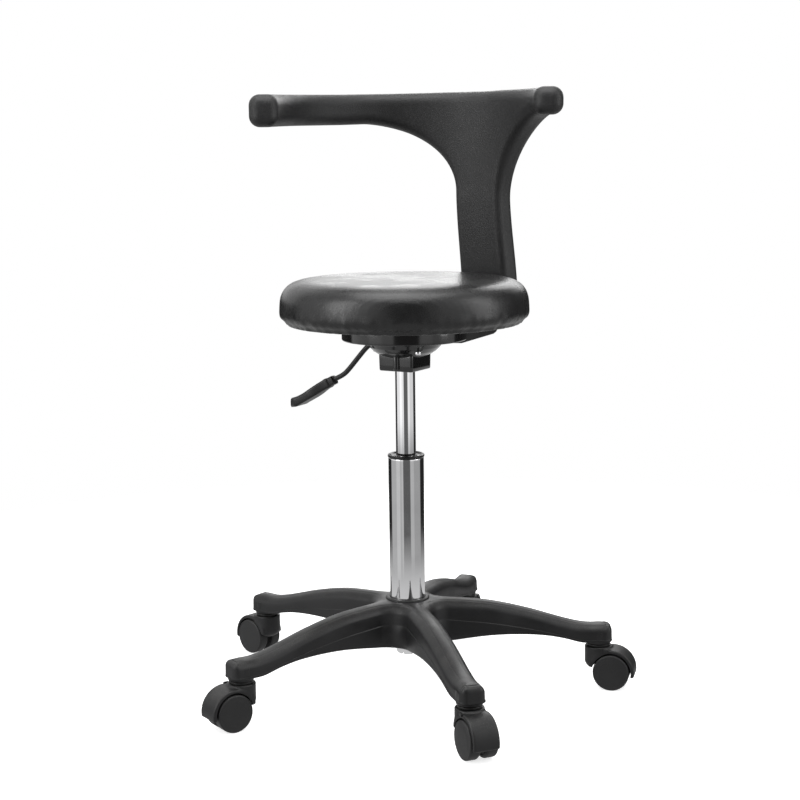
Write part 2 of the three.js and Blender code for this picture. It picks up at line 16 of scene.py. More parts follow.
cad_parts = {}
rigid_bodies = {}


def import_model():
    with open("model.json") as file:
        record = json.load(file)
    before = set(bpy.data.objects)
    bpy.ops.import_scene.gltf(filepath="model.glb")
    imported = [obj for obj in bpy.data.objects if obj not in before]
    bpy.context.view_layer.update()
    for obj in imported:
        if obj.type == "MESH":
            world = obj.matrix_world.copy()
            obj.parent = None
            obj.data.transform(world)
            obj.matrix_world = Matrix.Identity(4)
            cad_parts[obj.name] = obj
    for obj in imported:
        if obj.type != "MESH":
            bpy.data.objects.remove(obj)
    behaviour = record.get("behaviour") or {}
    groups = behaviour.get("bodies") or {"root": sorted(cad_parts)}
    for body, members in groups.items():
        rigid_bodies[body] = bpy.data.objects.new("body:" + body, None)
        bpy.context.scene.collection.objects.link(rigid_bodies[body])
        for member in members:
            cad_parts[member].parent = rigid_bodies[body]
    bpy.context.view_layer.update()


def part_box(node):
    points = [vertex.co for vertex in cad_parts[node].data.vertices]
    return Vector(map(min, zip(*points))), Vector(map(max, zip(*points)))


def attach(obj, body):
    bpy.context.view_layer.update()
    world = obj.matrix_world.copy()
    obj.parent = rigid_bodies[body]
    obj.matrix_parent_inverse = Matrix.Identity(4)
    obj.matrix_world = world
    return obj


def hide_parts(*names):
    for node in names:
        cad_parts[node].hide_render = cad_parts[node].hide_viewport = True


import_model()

# %% [markdown]
# ## Places
# Sizes are written in millimetres, because that is how such parts are dimensioned, and turned into metres
# when a mesh is made. Places come from the frame: the column's axis is the middle of the column tube, and a
# castor's trailing direction runs from its stem to the middle of its two wheels.

# %% Where things are
MM = 0.001


def middle_of(node):
    low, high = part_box(node)
    return (np.array(low) + np.array(high)) / 2


AXIS = np.append(middle_of("column_tube")[:2], 0.0)
CASTORS = []
for number in range(1, 6):
    stem = np.append(middle_of(f"castor_stem_{number}")[:2], 0.0)
    wheels = [middle_of(f"castor_wheel_{side}_{number}") for side in ("left", "right")]
    trail = (wheels[0] + wheels[1]) / 2 - stem
    CASTORS.append((stem, math.atan2(trail[1], trail[0])))
ARM_ANGLES = [math.atan2(*(stem - AXIS)[1::-1]) for stem, turn in CASTORS]
print("column axis at", np.round(AXIS, 4), "and arms at", np.round(np.degrees(ARM_ANGLES), 1), "degrees")

# %% [markdown]
# ## Camera and light
# The camera comes first, because everything is judged through it. It stands a little over two metres in
# front of the stool at the height of the support, looks slightly down, and is turned by less than a degree
# about its own view, as a hand-set camera often is. A long lens keeps the stool's verticals nearly parallel.
# The light is a plain white room with large soft panels. The world shader makes them: it is bright where a
# panel hangs and dark between, so the chrome has something to reflect.

# %% Camera
CAMERA_HEIGHT = 0.769
CAMERA_DISTANCE = 2.2446
CAMERA_PITCH = math.radians(8.875)
CAMERA_ROLL = math.radians(-0.662)
LENS = 72.77
SENSOR = 36.0

camera_data = bpy.data.cameras.new("camera")
camera_data.lens = LENS
camera_data.sensor_width = SENSOR
camera_data.shift_x = -0.00675
camera_data.clip_end = 50
camera = bpy.data.objects.new("camera", camera_data)
bpy.context.scene.collection.objects.link(camera)
tilt = Matrix.Rotation(math.pi / 2 - CAMERA_PITCH, 4, "X") @ Matrix.Rotation(CAMERA_ROLL, 4, "Z")
camera.matrix_world = Matrix.Translation((AXIS[0], AXIS[1] - CAMERA_DISTANCE, CAMERA_HEIGHT)) @ tilt
bpy.context.scene.camera = camera
bpy.context.scene.view_settings.view_transform = "Standard"
print("camera at", np.round(camera.location, 3))


# %% World
# Panels of the room: middle of the panel as a direction's turn from the camera's side, in degrees, half its
# breadth, and how bright it is. The turn is counted from -Y towards +X. Between the two broad panels is a
# dark gap, behind the stool is a bright wall that ends at the horizon, and the floor glows where it is near.
ROOM_LEVEL = 0.02
PANELS = [(-66, 49, 0.46), (-55, 16, 0.14), (64, 41, 0.36), (40, 14, 0.12)]
PANEL_EDGE = 6.0
DARK_GAP = 0.10
BACK_WALL = 2.6
CEILING = 0.9
HIGH_PANEL_GAIN = 2.1
NEAR_FLOOR_GLOW = 0.66
DIFFUSE_LEVEL = 0.40
DEGREES = 180 / math.pi


def add_node(tree, kind, **values):
    """Adds a node of that kind to a tree and sets its properties, or its inputs where the name is an
    input's."""
    node = tree.nodes.new(kind)
    for name, value in values.items():
        if hasattr(node, name):
            setattr(node, name, value)
        else:
            node.inputs[name.replace("_", " ")].default_value = value
    return node


def calculate(tree, operation, first, second=0.5, third=0.5):
    """A Math node. A number becomes a constant and a socket is linked. Returns the node's result."""
    node = tree.nodes.new("ShaderNodeMath")
    node.operation = operation
    for socket, value in zip(node.inputs, (first, second, third)):
        if isinstance(value, (int, float)):
            socket.default_value = value
        else:
            tree.links.new(value, socket)
    return node.outputs[0]


def between(tree, value, low, high, start=0.0, end=1.0):
    """A soft step: start below low, end above high, and a smooth slope between them."""
    node = add_node(tree, "ShaderNodeMapRange", interpolation_type="SMOOTHSTEP")
    tree.links.new(value, node.inputs["Value"])
    for name, number in (("From Min", low), ("From Max", high), ("To Min", start), ("To Max", end)):
        node.inputs[name].default_value = number
    return node.outputs["Result"]


world = bpy.data.worlds.new("white room")
bpy.context.scene.world = world
world.use_nodes = True
room = world.node_tree
room.nodes.clear()
place = add_node(room, "ShaderNodeTexCoord")
split = add_node(room, "ShaderNodeSeparateXYZ")
room.links.new(place.outputs["Generated"], split.inputs[0])
turn = calculate(room, "ARCTAN2", split.outputs["X"], calculate(room, "MULTIPLY", split.outputs["Y"], -1.0))
turn = calculate(room, "MULTIPLY", turn, DEGREES)
level = ROOM_LEVEL
for middle, half, brightness in PANELS:
    away = calculate(room, "ABSOLUTE", calculate(room, "SUBTRACT", turn, float(middle)))
    panel = between(room, away, half - PANEL_EDGE, half, brightness, 0.0)
    level = calculate(room, "ADD", panel, level)
front = between(room, calculate(room, "ABSOLUTE", turn), 24.0, 34.0, DARK_GAP, 0.0)
floor_glow = between(room, calculate(room, "MULTIPLY", split.outputs["Z"], -1.0), 0.225, 0.272, 0.0,
                     NEAR_FLOOR_GLOW)
lift = between(room, split.outputs["Z"], -0.186, -0.166, 1.0, HIGH_PANEL_GAIN)
level = calculate(room, "MULTIPLY", level, lift)
level = calculate(room, "MAXIMUM", calculate(room, "ADD", level, front), floor_glow)
behind = between(room, calculate(room, "ABSOLUTE", turn), 112.0, 128.0)
lit_half = between(room, split.outputs["X"], 0.0, 0.07, BACK_WALL, 0.10)
lit_half = calculate(room, "MULTIPLY", lit_half, between(room, split.outputs["X"], -0.11, -0.03, 0.4, 1.0))
wall = calculate(room, "MULTIPLY", between(room, split.outputs["Z"], 0.0, 0.07), lit_half)
level = calculate(room, "MAXIMUM", level, calculate(room, "MULTIPLY", wall, behind))
rear = between(room, split.outputs["Y"], -0.35, 0.1, 0.12, CEILING)
ceiling = calculate(room, "MULTIPLY", between(room, split.outputs["Z"], 0.45, 0.7), rear)
level = calculate(room, "MAXIMUM", level, ceiling)
path = add_node(room, "ShaderNodeLightPath")
seen_by = add_node(room, "ShaderNodeMix", data_type="FLOAT")
room.links.new(path.outputs["Is Glossy Ray"], seen_by.inputs[0])
seen_by.inputs[2].default_value = DIFFUSE_LEVEL
room.links.new(level, seen_by.inputs[3])
shown = add_node(room, "ShaderNodeMix", data_type="FLOAT")
room.links.new(path.outputs["Is Camera Ray"], shown.inputs[0])
room.links.new(seen_by.outputs[0], shown.inputs[2])
shown.inputs[3].default_value = 1.0
sky = add_node(room, "ShaderNodeBackground", Color=(1, 1, 1, 1))
room.links.new(shown.outputs[0], sky.inputs["Strength"])
out = add_node(room, "ShaderNodeOutputWorld")
room.links.new(sky.outputs[0], out.inputs["Surface"])
print("room with", len(PANELS), "panels")

# %% Lamps and floor
# Lamps: name, place, point it faces, width, height, power in watts.
LAMPS = [
    ("overhead lamp", (-0.1, -0.3, 2.3), (0, 0, 0.4), 1.6, 1.6, 30),
    ("left lamp", (-1.9, -1.1, 1.3), (0, 0, 0.45), 0.8, 1.8, 22),
    ("right lamp", (1.9, -0.5, 1.2), (0, 0, 0.45), 0.6, 1.8, 15),
    ("back lamp", (0.6, 1.9, 1.5), (0, 0, 0.6), 1.2, 1.2, 14),
]
FLOOR_RADIUS = 1.5
FLOOR_FADE = 0.35

for name, where, aim, width, height, power in LAMPS:
    lamp_data = bpy.data.lights.new(name, "AREA")
    lamp_data.shape = "RECTANGLE"
    lamp_data.size = width
    lamp_data.size_y = height
    lamp_data.energy = power
    lamp = bpy.data.objects.new(name, lamp_data)
    bpy.context.scene.collection.objects.link(lamp)
    lamp.location = where
    lamp.rotation_euler = (Vector(aim) - Vector(where)).to_track_quat("-Z", "Y").to_euler()

angles = np.linspace(0, 2 * math.pi, 96, endpoint=False)
rim = np.stack([np.cos(angles), np.sin(angles), np.zeros(96)], axis=1) * FLOOR_RADIUS
floor_mesh = bpy.data.meshes.new("floor")
floor_mesh.from_pydata((rim + AXIS).tolist(), [], [list(range(96))])
floor = bpy.data.objects.new("floor", floor_mesh)
bpy.context.scene.collection.objects.link(floor)
floor_paper = bpy.data.materials.new("pale paper floor")
floor_paper.use_nodes = True
tree = floor_paper.node_tree
paper = tree.nodes["Principled BSDF"]
paper.inputs["Base Color"].default_value = (0.93, 0.93, 0.93, 1)
paper.inputs["Roughness"].default_value = 0.6
paper.inputs["Emission Color"].default_value = (1, 1, 1, 1)
paper.inputs["Emission Strength"].default_value = 0.7
place = add_node(tree, "ShaderNodeTexCoord")
length = add_node(tree, "ShaderNodeVectorMath", operation="LENGTH")
tree.links.new(place.outputs["Object"], length.inputs[0])
shown = between(tree, length.outputs["Value"], FLOOR_RADIUS - FLOOR_FADE, FLOOR_RADIUS, 1.0, 0.0)
tree.links.new(shown, paper.inputs["Alpha"])
floor.data.materials.append(floor_paper)
floor.visible_glossy = False
floor.visible_diffuse = False
print("lamps:", len(LAMPS), "and a floor", 2 * FLOOR_RADIUS, "m across")

# %% [markdown]
# ## Surfaces from numbers
# A lathe, a press and a bender each have a formula, and numpy works it out for every point at once. These
# helpers join a grid of points with faces, turn a profile about an axis, and carry a section along a path.
# Duplicate points on seams and at poles are merged afterwards, and the faces are then turned outwards.

# %% Grids and meshes
SHARP_ANGLE = math.radians(38)


def grid_faces(rows, columns, around=False, across=False):
    """Faces of a grid of rows x columns points: corner numbers of each cell. around joins the last row to the
    first, and across joins the last column to the first."""
    row = np.arange(rows if around else rows - 1)[:, None]
    column = np.arange(columns if across else columns - 1)[None, :]
    next_row = (row + 1) % rows
    next_column = (column + 1) % columns
    corners = [row * columns + column, next_row * columns + column,
               next_row * columns + next_column, row * columns + next_column]
    return np.stack(np.broadcast_arrays(*corners), axis=-1).reshape(-1, 4)


def new_piece(name, parts, sharp=SHARP_ANGLE):
    """A mesh object from parts, a list of (points in millimetres about the column's axis, faces)."""
    starts = np.cumsum([0] + [len(points) for points, faces in parts])
    points = np.concatenate([points for points, faces in parts]) * MM + AXIS
    faces = np.concatenate([faces + start for (_, faces), start in zip(parts, starts)])
    mesh = bpy.data.meshes.new(name)
    mesh.vertices.add(len(points))
    mesh.vertices.foreach_set("co", points.astype(np.float32).ravel())
    mesh.loops.add(faces.size)
    mesh.loops.foreach_set("vertex_index", faces.astype(np.int32).ravel())
    mesh.polygons.add(len(faces))
    mesh.polygons.foreach_set("loop_start", np.arange(0, faces.size, faces.shape[1], dtype=np.int32))
    mesh.update(calc_edges=True)
    work = bmesh.new()
    work.from_mesh(mesh)
    bmesh.ops.remove_doubles(work, verts=work.verts, dist=2e-6)
    bmesh.ops.dissolve_degenerate(work, edges=work.edges, dist=1e-7)
    bmesh.ops.recalc_face_normals(work, faces=work.faces)
    work.to_mesh(mesh)
    work.free()
    mesh.shade_smooth()
    mesh.set_sharp_from_angle(angle=sharp)
    piece = bpy.data.objects.new(name, mesh)
    bpy.context.scene.collection.objects.link(piece)
    return piece


def settle(piece, body, nodes, finish):
    """Puts a piece on its body and in its finish, and lets it stand for its nodes."""
    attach(piece, body)
    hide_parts(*nodes)
    piece.data.materials.clear()
    piece.data.materials.append(finish)
    print(piece.name, "has", len(piece.data.polygons), "faces")


# %% Profiles
def rounded_line(corners, steps=5, closed=False):
    """A line through corners (x, y, radius): each corner is replaced by the arc that touches both of its
    sides. The arc's middle lies on the corner's bisector, and its points turn evenly from one side to the
    other."""
    corners = np.array(corners, float)
    line = []
    for i, (x, y, radius) in enumerate(corners):
        here = np.array((x, y))
        if radius == 0 or (not closed and i in (0, len(corners) - 1)):
            line.append(here[None])
            continue
        back = corners[i - 1, :2] - here
        ahead = corners[(i + 1) % len(corners), :2] - here
        back_length, ahead_length = np.hypot(*back), np.hypot(*ahead)
        back, ahead = back / back_length, ahead / ahead_length
        half = math.acos(np.clip(back @ ahead, -1, 1)) / 2
        reach = min(radius / math.tan(half), 0.49 * back_length, 0.49 * ahead_length)
        share = np.linspace(0, 1, steps + 1)[:, None]
        middle = here + (back + ahead) / np.hypot(*(back + ahead)) * reach / math.cos(half)
        first, last = here + back * reach - middle, here + ahead * reach - middle
        bend = math.pi - 2 * half
        arc = (np.sin((1 - share) * bend) * first + np.sin(share * bend) * last) / math.sin(bend)
        line.append(middle + arc)
    return np.concatenate(line)


def lathe(profile, sides=64, closed=False):
    """Turns a profile of (radius, height) about the upright axis: x = r cos a, y = r sin a, z = height."""
    profile = np.array(profile, float)
    angle = np.linspace(0, 2 * math.pi, sides, endpoint=False)[:, None]
    x = profile[:, 0] * np.cos(angle)
    y = profile[:, 0] * np.sin(angle)
    z = np.broadcast_to(profile[:, 1], x.shape)
    return np.stack([x, y, z], axis=-1).reshape(-1, 3), grid_faces(sides, len(profile), True, closed)


def ring(inner, outer, bottom, top, edge=0.5, sides=64):
    """A ring of rectangular section with rounded edges."""
    section = [(inner, bottom, edge), (outer, bottom, edge), (outer, top, edge), (inner, top, edge)]
    return lathe(rounded_line(section, 3, True), sides, True)


def loft(sections):
    """Joins sections (stations x points around x 3) into a tube and closes each end on its middle."""
    first, last = sections[0].mean(axis=0), sections[-1].mean(axis=0)
    ends = [np.broadcast_to(middle, sections[0].shape)[None] for middle in (first, last)]
    grid = np.concatenate([ends[0], sections, ends[1]])
    return grid.reshape(-1, 3), grid_faces(grid.shape[0], grid.shape[1], False, True)


def carried(path, section, side, scale=None):
    """Carries a flat section (points x 2) along a path (stations x 3). The section's first axis lies along
    the fixed direction `side`, and its second is square to that and to the path."""
    ahead = np.gradient(path, axis=0)
    ahead /= np.linalg.norm(ahead, axis=1, keepdims=True)
    up = np.cross(ahead, side)
    up /= np.linalg.norm(up, axis=1, keepdims=True)
    scale = np.ones(len(path)) if scale is None else scale
    spread = section[None, :, :1] * side + section[None, :, 1:] * up[:, None]
    return path[:, None] + spread * scale[:, None, None]


def through(points, count):
    """A smooth line of `count` points through the given points: a Catmull-Rom curve, evenly spaced."""
    points = np.array(points, float)
    padded = np.concatenate([[2 * points[0] - points[1]], points, [2 * points[-1] - points[-2]]])
    place = np.linspace(0, len(points) - 1 - 1e-9, 40 * len(points))
    index = place.astype(int)
    t = (place - index)[:, None]
    a, b, c, d = (padded[index + k] for k in range(4))
    square, cube = 2 * a - 5 * b + 4 * c - d, 3 * b - a - 3 * c + d
    fine = 0.5 * (2 * b + (c - a) * t + square * t ** 2 + cube * t ** 3)
    run = np.concatenate([[0], np.cumsum(np.linalg.norm(np.diff(fine, axis=0), axis=1))])
    even = np.linspace(0, run[-1], count)
    return np.stack([np.interp(even, run, column) for column in fine.T], axis=1)


def turned(part, angle, offset=(0, 0, 0)):
    """A part turned about the upright axis and then moved."""
    points, faces = part
    c, s = math.cos(angle), math.sin(angle)
    return points @ np.array([[c, s, 0], [-s, c, 0], [0, 0, 1]]) + np.array(offset, float), faces


def rounded_box(low, high, edge, steps=3):
    """A box with rounded edges: sections along z that shrink over the edge's quarter circle at both ends."""
    low, high = np.array(low, float), np.array(high, float)
    middle, half = (low + high) / 2, (high - low) / 2
    sweep = np.linspace(0, math.pi / 2, steps + 1)
    inset = edge * (1 - np.sin(sweep))
    height = np.concatenate([low[2] + edge * (1 - np.cos(sweep)), high[2] - edge * (1 - np.cos(sweep[::-1]))])
    sections = []
    for z, cut in zip(height, np.concatenate([inset, inset[::-1]])):
        corner = max(edge - cut, 0.02)
        x, y = half[0] - cut, half[1] - cut
        line = rounded_line([(x, y, corner), (-x, y, corner), (-x, -y, corner), (x, -y, corner)], steps, True)
        sections.append(np.column_stack([line + middle[:2], np.full(len(line), z)]))
    return loft(np.array(sections))


def smooth(value, low, high):
    """The soft step 3t^2 - 2t^3, where t runs from 0 at low to 1 at high."""
    t = np.clip((value - low) / (high - low), 0, 1)
    return t * t * (3 - 2 * t)


print("helpers ready")

# %% [markdown]
# ## Finishes
# Almost everything on this stool is black, so the finishes differ in their surface, not in their colour:
# satin nylon with a spark-eroded grain, skinned foam with a leather grain, glossy artificial leather, black
# enamel and bright chrome. Effects that several finishes share are node groups with named sockets: the
# moulded grain, the leather pebble and the dust that settles on upward faces. Each finish places the groups
# with its own values. All patterns run on Object coordinates, in metres, because every piece sits at the
# origin.

# %% Shared effects
def new_group(name, inputs, outputs):
    """An empty shader group with its sockets (name, kind, default value) and its two end nodes."""
    group = bpy.data.node_groups.new(name, "ShaderNodeTree")
    for label, kind, value in inputs:
        socket = group.interface.new_socket(name=label, in_out="INPUT", socket_type=kind)
        if value is not None:
            socket.default_value = value
    for label in outputs:
        group.interface.new_socket(name=label, in_out="OUTPUT", socket_type="NodeSocketFloat")
    return group, add_node(group, "NodeGroupInput"), add_node(group, "NodeGroupOutput")


def noise(tree, vector, scale, detail=2.0, roughness=0.5):
    node = add_node(tree, "ShaderNodeTexNoise")
    tree.links.new(vector, node.inputs["Vector"])
    if isinstance(scale, (int, float)):
        node.inputs["Scale"].default_value = scale
    else:
        tree.links.new(scale, node.inputs["Scale"])
    node.inputs["Detail"].default_value = detail
    node.inputs["Roughness"].default_value = roughness
    return node.outputs["Fac"]


PLACE = ("Vector", "NodeSocketVector", None)
grain_group, begin, end = new_group(
    "moulded grain", [PLACE, ("Grain Size", "NodeSocketFloat", 0.001)], ["Height", "Tone", "Speckle"])
fineness = calculate(grain_group, "DIVIDE", 1.0, begin.outputs["Grain Size"])
fine = noise(grain_group, begin.outputs["Vector"], fineness, 3.0, 0.6)
grain_group.links.new(fine, end.inputs["Height"])
slow = noise(grain_group, begin.outputs["Vector"], 16.0, 3.0, 0.55)
grain_group.links.new(between(grain_group, slow, 0.36, 0.64), end.inputs["Tone"])
grain_group.links.new(between(grain_group, fine, 0.42, 0.62), end.inputs["Speckle"])

pebble_group, begin, end = new_group(
    "leather pebble", [PLACE, ("Pebble Size", "NodeSocketFloat", 0.002)], ["Height", "Crease"])
fineness = calculate(pebble_group, "DIVIDE", 1.0, begin.outputs["Pebble Size"])
bend_noise = add_node(pebble_group, "ShaderNodeTexNoise")
pebble_group.links.new(begin.outputs["Vector"], bend_noise.inputs["Vector"])
pebble_group.links.new(calculate(pebble_group, "MULTIPLY", fineness, 0.7), bend_noise.inputs["Scale"])
bend_size = add_node(pebble_group, "ShaderNodeVectorMath", operation="SCALE")
pebble_group.links.new(bend_noise.outputs["Color"], bend_size.inputs[0])
pebble_group.links.new(calculate(pebble_group, "MULTIPLY", begin.outputs["Pebble Size"], 0.9),
                       bend_size.inputs["Scale"])
bent = add_node(pebble_group, "ShaderNodeVectorMath", operation="ADD")
pebble_group.links.new(begin.outputs["Vector"], bent.inputs[0])
pebble_group.links.new(bend_size.outputs[0], bent.inputs[1])
cells = add_node(pebble_group, "ShaderNodeTexVoronoi", feature="DISTANCE_TO_EDGE")
pebble_group.links.new(bent.outputs[0], cells.inputs["Vector"])
pebble_group.links.new(fineness, cells.inputs["Scale"])
dome = between(pebble_group, cells.outputs["Distance"], 0.0, 0.32)
pebble_group.links.new(dome, end.inputs["Height"])
# Crease is 1 along the pebbles' edges; the finishes use it for duller roughness and for painted shade in the
# creases.
pebble_group.links.new(between(pebble_group, cells.outputs["Distance"], 0.02, 0.14, 1.0, 0.0),
                       end.inputs["Crease"])

dust_group, begin, end = new_group(
    "settled dust", [PLACE, ("Normal", "NodeSocketVector", None), ("Amount", "NodeSocketFloat", 0.3)],
    ["Mask"])
upward = add_node(dust_group, "ShaderNodeSeparateXYZ")
dust_group.links.new(begin.outputs["Normal"], upward.inputs[0])
lying = between(dust_group, upward.outputs["Z"], 0.2, 0.95)
patches = between(dust_group, noise(dust_group, begin.outputs["Vector"], 38.0, 5.0, 0.62), 0.35, 0.75)
specks = between(dust_group, noise(dust_group, begin.outputs["Vector"], 900.0, 1.0, 0.5), 0.60, 0.74)
mixed = calculate(dust_group, "ADD", calculate(dust_group, "MULTIPLY", patches, 0.5), specks)
masked = calculate(dust_group, "MULTIPLY", calculate(dust_group, "MULTIPLY", mixed, lying),
                   begin.outputs["Amount"])
dust_group.links.new(masked, end.inputs["Mask"])
print("node groups:", [group.name for group in bpy.data.node_groups])


# %% Finish maker
def new_finish(name, colour, roughness, **constants):
    """A material with its Principled shader's constants set on its own sockets. Returns both trees'
    handles."""
    finish = bpy.data.materials.new(name)
    finish.use_nodes = True
    tree = finish.node_tree
    shader = tree.nodes["Principled BSDF"]
    shader.inputs["Base Color"].default_value = (*colour, 1)
    shader.inputs["Roughness"].default_value = roughness
    for label, value in constants.items():
        shader.inputs[label.replace("_", " ")].default_value = value
    finish.diffuse_color = (*colour, 1)
    return finish, tree, shader


def use_group(tree, group, **values):
    """Places a node group and gives it Object coordinates, or the surface's normal where it asks for one."""
    node = tree.nodes.new("ShaderNodeGroup")
    node.node_tree = group
    where = add_node(tree, "ShaderNodeTexCoord")
    tree.links.new(where.outputs["Object"], node.inputs["Vector"])
    if "Normal" in node.inputs:
        tree.links.new(add_node(tree, "ShaderNodeNewGeometry").outputs["Normal"], node.inputs["Normal"])
    for label, value in values.items():
        node.inputs[label.replace("_", " ")].default_value = value
    return node


def tint(tree, mask, first, second):
    """A colour between two others. Either one may be a colour or a linked socket."""
    node = add_node(tree, "ShaderNodeMix", data_type="RGBA")
    tree.links.new(mask, node.inputs[0])
    for socket, value in ((node.inputs[6], first), (node.inputs[7], second)):
        if isinstance(value, tuple):
            socket.default_value = (*value, 1)
        else:
            tree.links.new(value, socket)
    return node.outputs[2]


def emboss(tree, shader, height, depth, strength=1.0):
    """Feeds a height through a Bump node to the shader's normal. depth is in metres."""
    bump = add_node(tree, "ShaderNodeBump", Distance=depth, Strength=strength)
    tree.links.new(height, bump.inputs["Height"])
    tree.links.new(bump.outputs[0], shader.inputs["Normal"])


def scaled(colour, share):
    return tuple(channel * share for channel in colour)


DUST = (0.30, 0.29, 0.27)


def moulded_finish(name, colour, roughness, grain=0.0011, depth=0.00009, dust=0.12, **constants):
    """Moulded plastic: a spark grain in relief, slow changes of shade, and dust on what faces up."""
    finish, tree, shader = new_finish(name, colour, roughness, Specular_IOR_Level=0.32, **constants)
    skin = use_group(tree, grain_group, Grain_Size=grain)
    shade = tint(tree, skin.outputs["Tone"], scaled(colour, 0.82), scaled(colour, 1.2))
    shade = tint(tree, calculate(tree, "MULTIPLY", skin.outputs["Speckle"], 0.35), shade, scaled(colour, 1.5))
    settled = use_group(tree, dust_group, Amount=dust)
    tree.links.new(tint(tree, settled.outputs["Mask"], shade, DUST), shader.inputs["Base Color"])
    rough = between(tree, skin.outputs["Tone"], 0.0, 1.0, roughness - 0.05, roughness + 0.05)
    tree.links.new(calculate(tree, "ADD", rough, calculate(tree, "MULTIPLY", settled.outputs["Mask"], 0.4)),
                   shader.inputs["Roughness"])
    emboss(tree, shader, skin.outputs["Height"], depth)
    return finish


def metal_finish(name, colour, roughness, spread, dust=0.0, grain=0.004, depth=0.0, **constants):
    """Bare or plated metal: roughness in slow patches, and a thin film of dust where it faces up."""
    finish, tree, shader = new_finish(name, colour, roughness, Metallic=1.0, **constants)
    skin = use_group(tree, grain_group, Grain_Size=grain)
    rough = between(tree, skin.outputs["Tone"], 0.0, 1.0, roughness, roughness + spread)
    settled = use_group(tree, dust_group, Amount=dust)
    tree.links.new(calculate(tree, "ADD", rough, calculate(tree, "MULTIPLY", settled.outputs["Mask"], 0.5)),
                   shader.inputs["Roughness"])
    shade = tint(tree, skin.outputs["Tone"], scaled(colour, 0.94), colour)
    tree.links.new(tint(tree, settled.outputs["Mask"], shade, DUST), shader.inputs["Base Color"])
    if depth:
        emboss(tree, shader, skin.outputs["Height"], depth)
    return finish


def leather_finish(name, colour, roughness, pebble, depth, dust, **constants):
    """Artificial leather or skinned foam: pebbles in relief with duller creases between them, and painted
    shade that darkens the creases.
    """
    finish, tree, shader = new_finish(name, colour, roughness, **constants)
    skin = use_group(tree, pebble_group, Pebble_Size=pebble)
    patches = use_group(tree, grain_group, Grain_Size=pebble * 0.3)
    shade = tint(tree, patches.outputs["Tone"], scaled(colour, 0.85), scaled(colour, 1.18))
    # Painted shade: the creases between the pebbles are darkened to half the colour.
    shade = tint(tree, skin.outputs["Crease"], shade, scaled(colour, 0.5))
    settled = use_group(tree, dust_group, Amount=dust)
    tree.links.new(tint(tree, settled.outputs["Mask"], shade, DUST), shader.inputs["Base Color"])
    rough = between(tree, patches.outputs["Tone"], 0.0, 1.0, roughness - 0.03, roughness + 0.05)
    rough = calculate(tree, "ADD", rough, calculate(tree, "MULTIPLY", skin.outputs["Crease"], 0.12))
    tree.links.new(calculate(tree, "ADD", rough, calculate(tree, "MULTIPLY", settled.outputs["Mask"], 0.3)),
                   shader.inputs["Roughness"])
    height = calculate(tree, "ADD", skin.outputs["Height"],
                       calculate(tree, "MULTIPLY", patches.outputs["Height"], 0.35))
    emboss(tree, shader, height, depth)
    return finish


# %% The finishes
base_nylon = moulded_finish("base nylon", (0.014, 0.014, 0.0145), 0.42, 0.0012, 0.00010, 0.10)
castor_nylon = moulded_finish("castor nylon", (0.014, 0.014, 0.0145), 0.46, 0.0009, 0.00006, 0.14)
wheel_nylon = moulded_finish("wheel nylon", (0.020, 0.020, 0.0205), 0.52, 0.0010, 0.00007, 0.10)
collar_black = moulded_finish("collar black", (0.008, 0.008, 0.008), 0.4, 0.0012, 0.00003, 0.05)
grip_nylon = moulded_finish("grip nylon", (0.014, 0.014, 0.0145), 0.38, 0.0008, 0.00004, 0.06)
guide_acetal = moulded_finish("guide acetal", (0.010, 0.010, 0.010), 0.20, 0.0010, 0.00002, 0.04)
white_acetal = moulded_finish("white acetal", (0.70, 0.70, 0.66), 0.4, 0.0010, 0.00003, 0.05)
bump_black = moulded_finish("bump rubber", (0.015, 0.015, 0.015), 0.7, 0.0010, 0.00006, 0.1)
powder_coat = moulded_finish("powder coat", (0.010, 0.010, 0.010), 0.45, 0.0014, 0.00006, 0.12)
lever_paint = moulded_finish("lever paint", (0.014, 0.014, 0.0145), 0.33, 0.0012, 0.00003, 0.05)
gloss_enamel = moulded_finish("gloss enamel", (0.007, 0.007, 0.0075), 0.2, 0.0030, 0.00004, 0.08,
                              Coat_Weight=0.6, Coat_Roughness=0.06)
chrome = metal_finish("chrome plate", (0.80, 0.80, 0.81), 0.035, 0.03, 0.0)
bright_plate = metal_finish("bright plate", (0.84, 0.84, 0.85), 0.08, 0.06)
zinc_plate = metal_finish("zinc plate", (0.56, 0.56, 0.57), 0.26, 0.14, 0.1, 0.0012, 0.00004)
seat_leather = leather_finish("seat leather", (0.010, 0.010, 0.0103), 0.25, 0.0016, 0.00004, 0.02,
                               Specular_IOR_Level=0.45)
support_skin = leather_finish("support skin", (0.013, 0.013, 0.0135), 0.40, 0.0022, 0.00014, 0.05,
                              Specular_IOR_Level=0.4)

plywood, tree, shader = new_finish("birch plywood", (0.45, 0.27, 0.13), 0.6)
where = add_node(tree, "ShaderNodeTexCoord")
stretch = add_node(tree, "ShaderNodeMapping")
stretch.inputs["Scale"].default_value = (9.0, 140.0, 60.0)
tree.links.new(where.outputs["Object"], stretch.inputs["Vector"])
figure = noise(tree, stretch.outputs[0], 1.0, 5.0, 0.6)
layers = add_node(tree, "ShaderNodeTexWave", wave_type="BANDS", bands_direction="Z", Scale=260.0)
tree.links.new(where.outputs["Object"], layers.inputs["Vector"])
board = tint(tree, between(tree, figure, 0.35, 0.65), (0.50, 0.31, 0.16), (0.36, 0.20, 0.09))
board = tint(tree, calculate(tree, "MULTIPLY", layers.outputs["Fac"], 0.35), board, (0.22, 0.12, 0.05))
tree.links.new(board, shader.inputs["Base Color"])
emboss(tree, shader, figure, 0.0002)
print("finishes:", len(bpy.data.materials) - 1)

